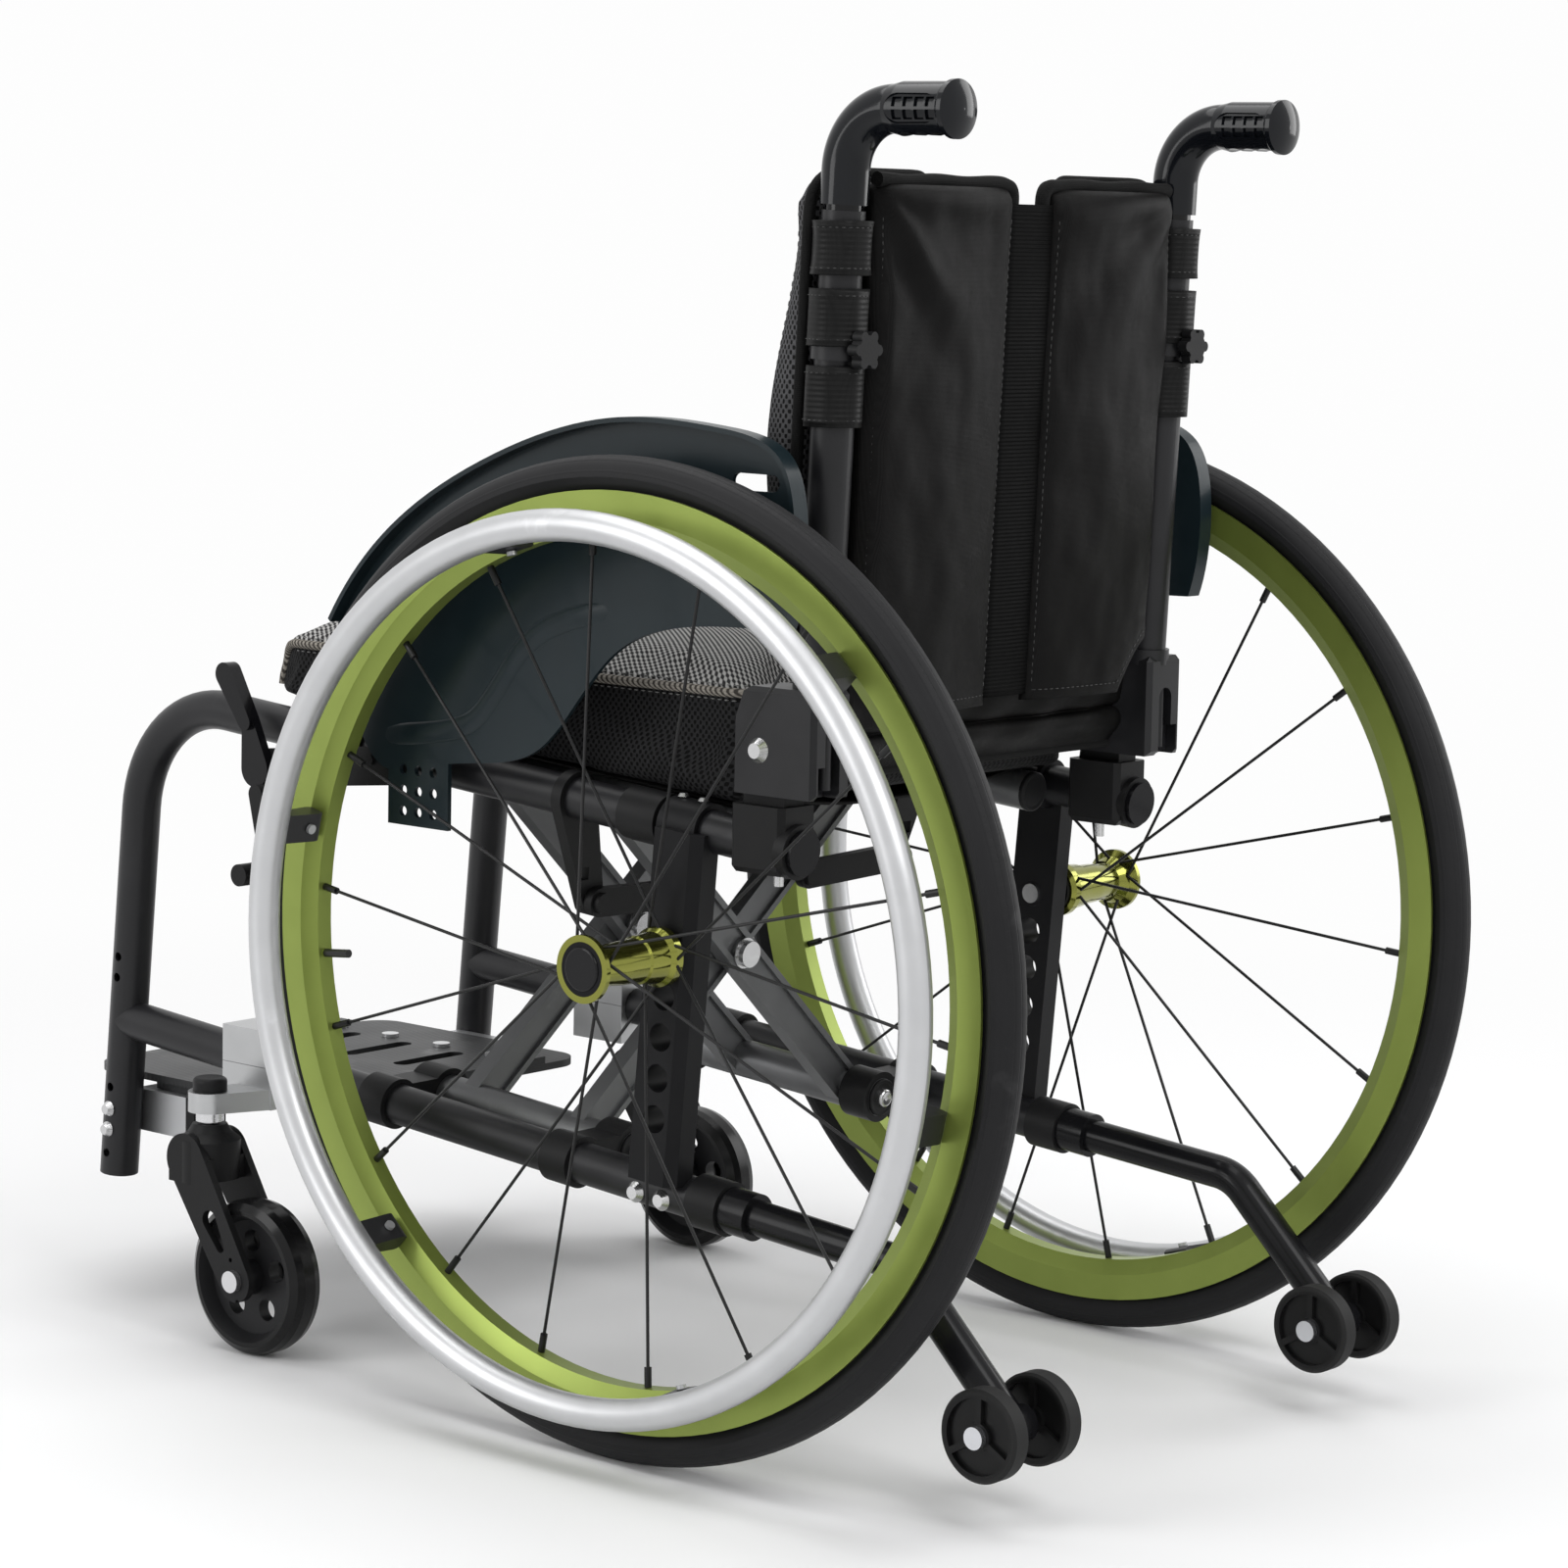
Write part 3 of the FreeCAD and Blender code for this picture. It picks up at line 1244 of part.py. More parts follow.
def tip_wheel(offset):
    """Small wheel with three ribs in its dished face."""
    centre = V(side_plane + offset, tip_axle_y, tip_axle_z)
    half = tip_wheel_width / 2 - seat_clearance
    bore = tip_axle_radius + running_clearance
    rim_width_in = tip_wheel_radius * 0.82
    dish = half - tip_wheel_recess
    outline = [(-half, bore), (-half, tip_hub_radius), (-dish, tip_hub_radius), (-dish, rim_width_in),
               (-half, rim_width_in), (-half, tip_wheel_radius - tip_wheel_recess / 2),
               (-half + tip_wheel_recess / 2, tip_wheel_radius),
               (half - tip_wheel_recess / 2, tip_wheel_radius),
               (half, tip_wheel_radius - tip_wheel_recess / 2), (half, rim_width_in), (dish, rim_width_in),
               (dish, tip_hub_radius), (half, tip_hub_radius), (half, bore)]
    wheel = turned(outline, centre)
    rib = block(centre.x - half, centre.x + half, tip_axle_y - tip_rib_width / 2,
                tip_axle_y + tip_rib_width / 2,
                tip_axle_z + tip_hub_radius - tip_rib_width / 4, tip_axle_z + rim_width_in + tip_rib_width / 4)
    return wheel.multiFuse(patterned(rib, centre, V(1, 0, 0), tip_ribs))


def tip_collar():
    """Clamp ring on the rear end of the lower tube."""
    y0 = lower_tube_end - collar_length / 2
    y1 = lower_tube_end + collar_length / 2 - seat_clearance
    end_y = lower_tube_end + seat_clearance
    body = rod(V(side_plane, y0, on_lower(y0)), V(side_plane, y1, on_lower(y1)), collar_radius)
    body = body.cut(rod(V(side_plane, y0 - overrun, on_lower(y0 - overrun)),
                        V(side_plane, end_y, on_lower(end_y)), tube_radius + running_clearance))
    return body.cut(rod(V(side_plane, y0, on_lower(y0)),
                        V(side_plane, y1 + overrun, on_lower(y1 + overrun)), tip_radius + running_clearance))


# Footplate

def rounded_plate(x0, x1, y0, y1, z0, z1, corners):
    plate = block(x0, x1, y0, y1, z0, z1)
    picked = []
    for edge in plate.Edges:
        a, b = edge.Vertexes[0].Point, edge.Vertexes[1].Point
        if abs(a.z - b.z) > (z1 - z0) / 2 and (round(a.x, 3), round(a.y, 3)) in corners:
            picked.append(edge)
    return plate.makeFillet(plate_corner, picked)


def footplate_slots():
    slots = []
    step = (plate_rear - plate_front) / (plate_slot_count + 1)
    for number in range(plate_slot_count):
        y = plate_front + step * (number + 1)
        half = plate_slot_width / 2
        start = (plate_bolt_x + bolt_head_radius * 2, y)
        end = (plate_bolt_x + plate_slot_length, y)
        slots.append(spread(lobe("z", start, half, end, half), "z",
                            plate_height - overrun, plate_height + plate_thickness * 2 + overrun))
    return slots


def footplate_left():
    """Upper half with its width slots."""
    z0 = plate_height + plate_thickness
    corners = [(round(plate_left, 3), round(plate_rear, 3)), (round(plate_left, 3), round(plate_front, 3))]
    plate = rounded_plate(plate_split, plate_left, plate_front, plate_rear, z0, z0 + plate_thickness, corners)
    for slot in footplate_slots():
        plate = plate.cut(slot)
    foot = block(plate_left - hanger_width, plate_left - hanger_wall, hanger_front, hanger_front + hanger_depth,
                 plate_height, z0)
    return plate.fuse(foot)


def footplate_right():
    """Lower half, that reaches under the upper one, and its four bolts."""
    z1 = plate_height + plate_thickness
    x1 = plate_split + plate_overlap
    corners = [(round(plate_right, 3), round(plate_rear, 3)), (round(plate_right, 3), round(plate_front, 3))]
    plate = rounded_plate(plate_right, x1, plate_front, plate_rear, plate_height,
                          z1 - running_clearance, corners)
    for slot in footplate_slots()[:plate_slot_count - 1]:
        narrow = slot.copy()
        narrow.translate(V(plate_slot_width * 2, 0, 0))
        plate = plate.cut(narrow)
    return plate


def footplate_bolts():
    z = plate_height + plate_thickness * 2
    count = plate_slot_count + 1
    step = (plate_rear - plate_front) / count
    bolts = []
    for number in range(count):
        y = plate_front + step * (number + 1 / 2)
        at = V(plate_bolt_x, y, z)
        head = rod(at, at.add(V(0, 0, plate_bolt_head)), plate_bolt_head_radius)
        nut = rod(at.sub(V(0, 0, plate_thickness * 2 + plate_bolt_head)), at.sub(V(0, 0, plate_thickness * 2)),
                  plate_bolt_head_radius)
        bolts.append(head)
        bolts.append(nut)
    return bolts


def footplate_hanger():
    """Open channel bolted to the inside of the leg, under the footplate."""
    x1 = side_plane - tube_radius - running_clearance
    x0 = x1 - hanger_width
    y0 = hanger_front - hanger_foot
    y1 = hanger_front + hanger_depth
    top = plate_height - seat_clearance
    body = block(x0, x1, y0, y1, top - hanger_height, top)
    hollow = block(x0 + hanger_wall, x1 - hanger_wall, y0 + hanger_foot, y1 + overrun,
                   top - hanger_height - overrun, top - hanger_wall)
    return body.cut(hollow)


# Soft covers

def arc_wire(points_and_middles):
    """Closed wire: each entry holds a start point and the middle of the arc after it, or None for a line."""
    edges = []
    count = len(points_and_middles)
    for number in range(count):
        start, middle = points_and_middles[number]
        end = points_and_middles[(number + 1) % count][0]
        edge = Part.LineSegment(start, end) if middle is None else Part.Arc(start, middle, end)
        edges.append(edge.toShape())
    return Part.Wire(edges)


def cushion_section(y, width, low, high, crown):
    """Flat base, sides drawn in at both seams and a crowned top."""
    middle = (low + high) / 2
    bulge = width + cushion_bulge
    return arc_wire([(V(-width, y, low), None), (V(width, y, low), V(bulge, y, middle)),
                     (V(width, y, high), V(0, y, high + crown)), (V(-width, y, high), V(-bulge, y, middle))])


cushion_shares = ((0.0, 0.90, 0.36, 0.22, 0.2), (0.012, 0.94, 0.16, 0.06, 0.5), (0.05, 0.985, 0.03, -0.1, 0.85),
                  (0.12, 1.0, 0.0, -0.1, 0.95), (0.5, 1.0, 0.0, 0.0, 1.0), (0.92, 1.0, 0.0, 0.0, 0.95),
                  (0.985, 0.985, 0.02, 0.03, 0.8), (1.0, 0.96, 0.08, 0.10, 0.5))


def seat_cushion():
    """Cushion with a crowned top, drawn-in sides and a rounded nose, deeper at the rear."""
    wires = []
    for along, width, lift, drop, crown in cushion_shares:
        y = cushion_front + along * (cushion_rear - cushion_front)
        base = on_upper(y) + tube_radius + sling_thickness + seat_clearance * 2
        depth = cushion_seam_height - base
        wires.append(cushion_section(y, cushion_half_width * width - cushion_bulge, base + depth * lift,
                                     cushion_seam_height - depth * drop, cushion_crown * crown))
    top = lower_line_height + upper_line_rise
    top = top + (tube_radius + sling_thickness + seat_clearance * 2) * math.cos(tube_slope)
    below = tilt(block(-cushion_half_width, cushion_half_width, cushion_front - overrun, cushion_rear + overrun,
                       lower_line_height, top))
    return smooth_loft(wires).cut(below)


def sling_section(y):
    """Cloth strip that sags between the seat tubes."""
    z = on_upper(y) + tube_radius + seat_clearance
    half = seat_tube_x + tube_radius
    inner = seat_tube_x - tube_radius / 2
    top = z + sling_thickness
    return arc_wire([(V(-half, y, z), None), (V(-inner, y, z), V(0, y, z - sling_sag)),
                     (V(inner, y, z), None), (V(half, y, z), None), (V(half, y, top), None),
                     (V(inner, y, top), V(0, y, top - sling_sag)), (V(-inner, y, top), None),
                     (V(-half, y, top), None)])


def seat_sling():
    """Seat cloth over both seat tubes."""
    return smooth_loft([sling_section(y) for y in (sling_front, (sling_front + sling_rear) / 2, sling_rear)])


def back_section(z):
    """Padded panel in front of the posts, with a tongue of backing between them."""
    share = (z - back_bottom) / (back_top - back_bottom)
    rear = post_y(z) + back_rear_offset
    step = post_y(z) - tube_radius - strap_thickness - seat_clearance * 2
    lumbar = back_lumbar * math.sin(math.pi * min(1, share * 1.1 + 0.05)) ** 2
    front = step - back_pad_depth * (0.75 + 0.25 * math.sin(math.pi * share)) - lumbar
    wing = back_front_half_width
    edge = (front + step) / 2
    inner = back_half_width - seat_clearance
    return arc_wire([(V(inner, rear, z), V(0, rear + rear_panel_thickness, z)), (V(-inner, rear, z), None),
                     (V(-inner, step, z), None), (V(-wing, step, z), V(-wing - sling_thickness, edge, z)),
                     (V(-wing * 0.97, front, z), V(0, front - sling_thickness, z)),
                     (V(wing * 0.97, front, z), V(wing + sling_thickness, edge, z)),
                     (V(wing, step, z), None), (V(inner, step, z), None)])


def back_panel():
    """Back upholstery with its padded front and lumbar swell."""
    levels = 7
    span = back_top - back_bottom
    return smooth_loft([back_section(back_bottom + span * number / (levels - 1)) for number in range(levels)])


def rear_cloth():
    """Two cloth panels behind the padding, bowed between post and middle."""
    panels = []
    top = back_top - rear_panel_thickness
    for side in (-1, 1):
        wires = []
        for z in (cloth_bottom, (cloth_bottom + top) / 2, top):
            base = post_y(z) + back_rear_offset + rear_panel_thickness + seat_clearance
            a = side * rear_panel_gap / 2
            b = side * back_half_width * 0.97
            m = (a + b) / 2
            deep = base + rear_panel_thickness
            wires.append(arc_wire([(V(a, base, z), None), (V(b, base, z), None),
                                   (V(b, base + rear_panel_thickness / 2, z),
                                    V(m, deep + rear_panel_thickness / 2, z)),
                                   (V(a, base + rear_panel_thickness, z), None)]))
        panels.append(smooth_loft(wires))
    return panels


def rear_skirt():
    """Cloth flap that closes the gap between the seat and the back, with its main folds."""
    top = back_bottom - seat_clearance
    rows = []
    for along, fold in skirt_shares:
        z = skirt_bottom + (top - skirt_bottom) * along
        high = post_y(top) + back_rear_offset - sling_thickness
        y = skirt_front + (high - skirt_front) * along + fold * sling_thickness
        half = skirt_half_width
        bow = sling_thickness * (1 - along) + seat_clearance
        rows.append(arc_wire([(V(-half, y, z), V(0, y - bow, z)), (V(half, y, z), None),
                              (V(half, y + sling_thickness, z), V(0, y + sling_thickness - bow, z)),
                              (V(-half, y + sling_thickness, z), None)]))
    return smooth_loft(rows)


skirt_shares = ((0.0, 0.0), (0.22, 1.0), (0.42, -0.6), (0.66, 0.7), (1.0, 0.0))


def post_straps():
    """Bands round the posts, that hold the back cover."""
    bands = []
    for height in strap_heights:
        low = post_point(height)
        high = post_point(height + strap_width)
        bands.append(ring(low, high, tube_radius + strap_thickness, tube_radius + seat_clearance))
    return bands


# Fasteners of one side

def domed(at, out, radius, height):
    """Round head on a surface at a place, pointing out along X or down."""
    return Part.makeCone(radius, radius * 0.6, height, at, out)


def frame_bolts():
    out = V(1, 0, 0)
    heads = []
    leg_x = side_plane + tube_radius
    for height in hanger_bolt_heights:
        heads.append(domed(V(leg_x, leg_y(height), height), out, bolt_head_radius * 0.8, bolt_head))
    for y in (-bar_bolt_first, -bar_bolt_first - bar_bolt_pitch):
        heads.append(domed(V(leg_x, y, on_lower(y) - bar_bolt_drop), out, bolt_head_radius, bolt_head))
    for y in collar_bolt_places:
        top = on_upper(y) + (tube_radius + collar_wall) / math.cos(tube_slope)
        top = top + collar_bolt_radius * math.tan(tube_slope) + running_clearance
        heads.append(domed(V(side_plane, y, top), V(0, 0, 1), collar_bolt_radius, collar_bolt_head))
    return heads


def back_bolt():
    """Pivot bolt through the foot's cheeks and the tongue."""
    reach = foot_half_width + running_clearance
    left = V(hinge_plane - reach, back_pivot_y, back_pivot_z)
    right = V(hinge_plane + reach, back_pivot_y, back_pivot_z)
    inward = V(-back_bolt_head, 0, 0)
    nut = rod(left, left.add(inward), back_bolt_head_radius)
    return rod(left, right, back_bolt_radius).fuse(nut).fuse(domed(right, V(1, 0, 0), back_bolt_head_radius,
                                                                   back_bolt_head))


def stop_pin():
    """Short pin under the casting."""
    top = V(side_plane - stop_pin_inset, (base_front + base_rear) / 2, base_bottom - running_clearance)
    return rod(top.sub(V(0, 0, stop_pin_length)), top, stop_pin_radius)


def tube_plug():
    end = V(side_plane, upper_tube_end, on_upper(upper_tube_end))
    line = V(0, math.cos(tube_slope), -math.sin(tube_slope))
    cap = rod(end, end.add(line * plug_length), plug_radius)
    core = rod(end.sub(line * (plug_length * 3)), end, tube_radius - tube_wall - running_clearance)
    return cap.fuse(core)


def build():
    save_pair("tyre", tyre())
    save_pair("rim", rim())
    save_pair("spokes", *spokes())
    save_pair("hub", hub())
    save_pair("axle_button", axle_button())
    save_pair("hand_rim", *hand_rim())
    save_pair("side_frame", side_frame())
    bar, sleeve = axle_bar()
    save_pair("axle_bar", bar, sleeve)
    brackets = [tilt(pivot_bracket(lower_pivot_front, lower_pivot_front + bracket_length)),
                tilt(pivot_bracket(lower_pivot_rear - bracket_length, lower_pivot_rear)),
                tilt(cradle(cradle_front)), tilt(cradle(cradle_rear)), tilt(link_bracket()),
                tip_collar(), footplate_hanger()]
    save_pair("frame_brackets", *brackets)
    save_pair("frame_bolts", *frame_bolts(), back_bolt(), stop_pin(), tube_plug(), axle())
    save_pair("stabiliser_link", tilt(stabiliser_link()))
    step = bar_gap / 2
    save("left_cross_brace", tilt(brace(-step - bar_thickness)))
    save("right_cross_brace", flip(tilt(brace(step))))
    save("centre_bolts", tilt(centre_bolt(brace_front)), tilt(centre_bolt(brace_rear)))
    save_pair("hinge_base", hinge_base())
    save_pair("back_post", back_post())
    save_pair("push_handle", push_handle())
    save_pair("grip", grip())
    save_pair("star_knob", star_knob())
    save_pair("side_guard", side_guard())
    save_pair("lock_mount", lock_mount())
    save_pair("lock_lever", lock_lever())
    save_pair("lock_shoe", lock_shoe())
    save_pair("caster_arm", caster_arm())
    save_pair("caster_fork", caster_fork())
    save_pair("caster_wheel", caster_wheel())
    save_pair("tip_tube", tip_tube())
    save_pair("outer_tip_wheel", tip_wheel(tip_wheel_offset))
    save_pair("inner_tip_wheel", tip_wheel(-tip_wheel_offset))
    save("footplate_left", footplate_left())
    save("footplate_right", footplate_right(), *footplate_bolts())
    save("seat_cushion", seat_cushion())
    save("seat_sling", seat_sling())
    straps = post_straps()
    save("back_upholstery", back_panel(), *rear_cloth(), rear_skirt(), *straps, *[flip(s) for s in straps])


build()
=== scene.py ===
import bpy
import bmesh
import math
from mathutils import Matrix, Vector, noise
from mathutils.bvhtree import BVHTree


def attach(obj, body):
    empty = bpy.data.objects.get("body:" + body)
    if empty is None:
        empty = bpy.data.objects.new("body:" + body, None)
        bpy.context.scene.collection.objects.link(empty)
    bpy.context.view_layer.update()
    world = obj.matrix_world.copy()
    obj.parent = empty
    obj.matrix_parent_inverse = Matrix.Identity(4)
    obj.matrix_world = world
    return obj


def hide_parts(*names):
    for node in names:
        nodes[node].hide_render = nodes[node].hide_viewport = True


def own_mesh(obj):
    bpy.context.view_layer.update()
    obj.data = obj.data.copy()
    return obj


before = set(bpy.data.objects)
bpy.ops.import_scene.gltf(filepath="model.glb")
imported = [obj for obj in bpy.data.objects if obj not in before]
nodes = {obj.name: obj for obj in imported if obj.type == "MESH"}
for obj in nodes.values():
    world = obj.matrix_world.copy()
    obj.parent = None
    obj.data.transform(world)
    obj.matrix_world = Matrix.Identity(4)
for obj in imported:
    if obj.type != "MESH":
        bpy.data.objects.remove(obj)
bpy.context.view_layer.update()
scene = bpy.context.scene

# Places in metres, as in the solids
REAR_AXLE = (0.133, 0.296)
WHEEL_X = 0.226
POST_X = 0.160
POST_LEAN = 0.0427
SEAT_TUBE_X = 0.130
TUBE_RADIUS = 0.0127
TUBE_SLOPE = 0.08046
PIVOT_TUBE_X = 0.120
CASTER_X, CASTER_AXLE = 0.208, (-0.196, 0.050)
TIP_X, TIP_AXLE = 0.165, (0.382, 0.055)
SIDES = (("left", 1), ("right", -1))

# Colours that several finishes share
DULL_BLACK = (0.010, 0.010, 0.011)
BRIGHT = (0.62, 0.62, 0.63)


def post_y(z):
    return 0.221 + (z - 0.402) * POST_LEAN


def seat_rail_z(y):
    return 0.3707 - (y - 0.133) * TUBE_SLOPE


# Camera

def place_camera():
    yaw, pitch, roll = math.radians(51.267), math.radians(6.457), math.radians(1.359)
    ahead = Vector((-math.sin(yaw) * math.cos(pitch), -math.cos(yaw) * math.cos(pitch), -math.sin(pitch)))
    across = ahead.cross(Vector((0, 0, 1))).normalized()
    upward = across.cross(ahead)
    right = across * math.cos(roll) + upward * math.sin(roll)
    up = upward * math.cos(roll) - across * math.sin(roll)
    lens = bpy.data.cameras.new("camera")
    lens.lens, lens.sensor_width = 100.2, 36
    lens.shift_x, lens.shift_y = -0.0963, -0.0413
    lens.clip_end = 60
    view = bpy.data.objects.new("camera", lens)
    scene.collection.objects.link(view)
    place = Matrix((right, up, -ahead)).transposed().to_4x4()
    place.translation = Vector((2.07265, 1.8446, 0.72751))
    view.matrix_world = place
    scene.camera = view


# Shared surface effects

def feed(tree, socket, value):
    """Links a socket to another one, or sets its value; a colour may come without its alpha."""
    if isinstance(value, bpy.types.NodeSocket):
        tree.links.new(value, socket)
    elif isinstance(value, tuple) and socket.type == "RGBA":
        socket.default_value = (*value[:3], 1)
    else:
        socket.default_value = value


def put(tree, kind, inputs=None, **settings):
    made = tree.nodes.new(kind)
    for key, value in settings.items():
        setattr(made, key, value)
    for key, value in (inputs or {}).items():
        feed(tree, made.inputs[key], value)
    return made


def maths(tree, operation, a, b=0.0, c=0.0):
    return put(tree, "ShaderNodeMath", {0: a, 1: b, 2: c}, operation=operation).outputs[0]


def times(tree, a, b):
    return maths(tree, "MULTIPLY", a, b)


def minus(tree, a, b):
    return maths(tree, "SUBTRACT", a, b)


def sine(tree, a):
    return maths(tree, "SINE", a)


def absolute(tree, a):
    return maths(tree, "ABSOLUTE", a)


def ramp(tree, value, low, high):
    """Follows value smoothly from 0 at low to 1 at high."""
    return put(tree, "ShaderNodeMapRange", {"Value": value, "From Min": low, "From Max": high},
               interpolation_type="SMOOTHSTEP").outputs["Result"]


def blended(tree, share, a, b):
    """Colour a where share is 0, colour b where it is 1."""
    return put(tree, "ShaderNodeMix", {"Factor": share, 6: a, 7: b}, data_type="RGBA").outputs[2]


def effect(name, inputs, outputs):
    """Starts a shared effect; inputs are (name, kind, value)."""
    group = bpy.data.node_groups.new(name, "ShaderNodeTree")
    for label, kind, value in inputs:
        socket = group.interface.new_socket(name=label, in_out="INPUT", socket_type="NodeSocket" + kind)
        if value is not None:
            socket.default_value = value
    for label in outputs:
        group.interface.new_socket(name=label, in_out="OUTPUT", socket_type="NodeSocketFloat")
    return group, group.nodes.new("NodeGroupInput"), group.nodes.new("NodeGroupOutput")


def noise_value(tree, vector, scale, detail=2.0, roughness=0.5):
    return put(tree, "ShaderNodeTexNoise", {"Vector": vector, "Scale": scale, "Detail": detail,
                                            "Roughness": roughness}).outputs["Fac"]


def make_grain():
    """Fine even grain with a slow unevenness, as on coated or moulded skin."""
    group, given, out = effect("grain", [("Vector", "Vector", None), ("Scale", "Float", 900.0)], ("Height", "Mottle"))
    fine = noise_value(group, given.outputs["Vector"], given.outputs["Scale"], 3.0, 0.6)
    slow = noise_value(group, given.outputs["Vector"], times(group, given.outputs["Scale"], 0.03), 3.0)
    group.links.new(fine, out.inputs["Height"])
    group.links.new(slow, out.inputs["Mottle"])
    return group


def make_wear():
    """Patchy rubbed marks and thin scratches."""
    group, given, out = effect("wear", [("Vector", "Vector", None), ("Amount", "Float", 0.3)], ("Rub", "Scratch"))
    patch = noise_value(group, given.outputs["Vector"], 22.0, 4.0, 0.6)
    edge = minus(group, 0.78, times(group, given.outputs["Amount"], 0.35))
    rub = ramp(group, patch, edge, maths(group, "ADD", edge, 0.12))
    long = put(group, "ShaderNodeMapping", {"Vector": given.outputs["Vector"], "Rotation": (0.6, 0.3, 0.8),
                                            "Scale": (40.0, 900.0, 420.0)}).outputs[0]
    line = ramp(group, noise_value(group, long, 1.0, 1.0), 0.70, 0.74)
    group.links.new(rub, out.inputs["Rub"])
    group.links.new(times(group, line, given.outputs["Amount"]), out.inputs["Scratch"])
    return group


def make_weave():
    """Plain weave: threads over and under in two directions, Pitch apart."""
    group, given, out = effect("weave", [("Vector", "Vector", None), ("Pitch", "Float", 0.0006)], ("Height", "Shade"))
    split = put(group, "ShaderNodeSeparateXYZ", {0: given.outputs["Vector"]})
    along = maths(group, "DIVIDE", maths(group, "ADD", split.outputs[0], split.outputs[1]), given.outputs["Pitch"])
    down = maths(group, "DIVIDE", split.outputs[2], given.outputs["Pitch"])
    waves = [sine(group, times(group, turn, math.pi)) for turn in (along, down)]
    height = absolute(group, times(group, waves[0], waves[1]))
    shade = noise_value(group, given.outputs["Vector"], 160.0, 3.0, 0.6)
    group.links.new(height, out.inputs["Height"])
    group.links.new(shade, out.inputs["Shade"])
    return group


def make_spacer_mesh():
    """Knitted spacer cloth: staggered rounded holes, Pitch apart, between raised threads."""
    group, given, out = effect("spacer mesh", [("Vector", "Vector", None), ("Pitch", "Float", 0.004)],
                               ("Height", "Hole"))
    uneven = put(group, "ShaderNodeTexNoise", {"Vector": given.outputs["Vector"], "Scale": 260.0, "Detail": 1.0})
    shift = put(group, "ShaderNodeVectorMath", {0: uneven.outputs["Color"], 1: (0.0007, 0.0007, 0.0007)},
                operation="MULTIPLY").outputs[0]
    place = put(group, "ShaderNodeVectorMath", {0: given.outputs["Vector"], 1: shift}, operation="ADD").outputs[0]
    split = put(group, "ShaderNodeSeparateXYZ", {0: place})
    turns = maths(group, "DIVIDE", 2 * math.pi, given.outputs["Pitch"])
    along = times(group, maths(group, "ADD", split.outputs[0], split.outputs[1]), turns)
    down = times(group, split.outputs[2], times(group, turns, 0.88))
    cell = times(group, maths(group, "COSINE", along), maths(group, "COSINE", down))
    hole = ramp(group, cell, 0.02, 0.42)
    group.links.new(minus(group, 1.0, hole), out.inputs["Height"])
    group.links.new(hole, out.inputs["Hole"])
    return group


def make_axle_distance():
    """Distance from a line along X through (Y, Z), and the turn about it in revolutions."""
    group, given, out = effect("axle distance", [("Vector", "Vector", None), ("Y", "Float", 0.0),
                                                 ("Z", "Float", 0.0)], ("Radius", "Turn"))
    split = put(group, "ShaderNodeSeparateXYZ", {0: given.outputs["Vector"]})
    y = minus(group, split.outputs[1], given.outputs["Y"])
    z = minus(group, split.outputs[2], given.outputs["Z"])
    square = maths(group, "MULTIPLY_ADD", y, y, times(group, z, z))
    group.links.new(maths(group, "SQRT", square), out.inputs["Radius"])
    turn = maths(group, "DIVIDE", maths(group, "ARCTAN2", z, y), 2 * math.pi)
    group.links.new(turn, out.inputs["Turn"])
    return group


EFFECTS = {"grain": make_grain(), "wear": make_wear(), "weave": make_weave(), "mesh": make_spacer_mesh(),
           "axle": make_axle_distance()}


def use(tree, name, **inputs):
    made = tree.nodes.new("ShaderNodeGroup")
    made.node_tree = EFFECTS[name]
    for key, value in inputs.items():
        feed(tree, made.inputs[key], value)
    return made.outputs


# Materials

class Finish:
    """A material under construction: its tree, its shader and its place on the piece."""

    def __init__(self, name, roughness=0.5, metallic=0.0, coat=0.0, sheen=0.0, specular=0.5):
        self.material = bpy.data.materials.new(name)
        self.material.use_nodes = True
        self.tree = self.material.node_tree
        self.shader = self.tree.nodes["Principled BSDF"]
        self.set("Roughness", roughness)
        self.set("Metallic", metallic)
        self.set("Coat Weight", coat)
        self.set("Coat Roughness", 0.08)
        self.set("Sheen Weight", sheen)
        self.set("Specular IOR Level", specular)
        self.place = put(self.tree, "ShaderNodeTexCoord").outputs["Object"]
        self.xyz = put(self.tree, "ShaderNodeSeparateXYZ", {0: self.place}).outputs

    def set(self, socket, value):
        feed(self.tree, self.shader.inputs[socket], value)

    def about(self, axle):
        """Distance from an axle along X at (y, z), and the turn about it."""
        return use(self.tree, "axle", Vector=self.place, Y=axle[0], Z=axle[1])

    def bump(self, height, distance, strength=1.0, under=None):
        inputs = {"Height": height, "Distance": distance, "Strength": strength}
        if under is not None:
            inputs["Normal"] = under
        normal = put(self.tree, "ShaderNodeBump", inputs).outputs[0]
        self.set("Normal", normal)
        return normal


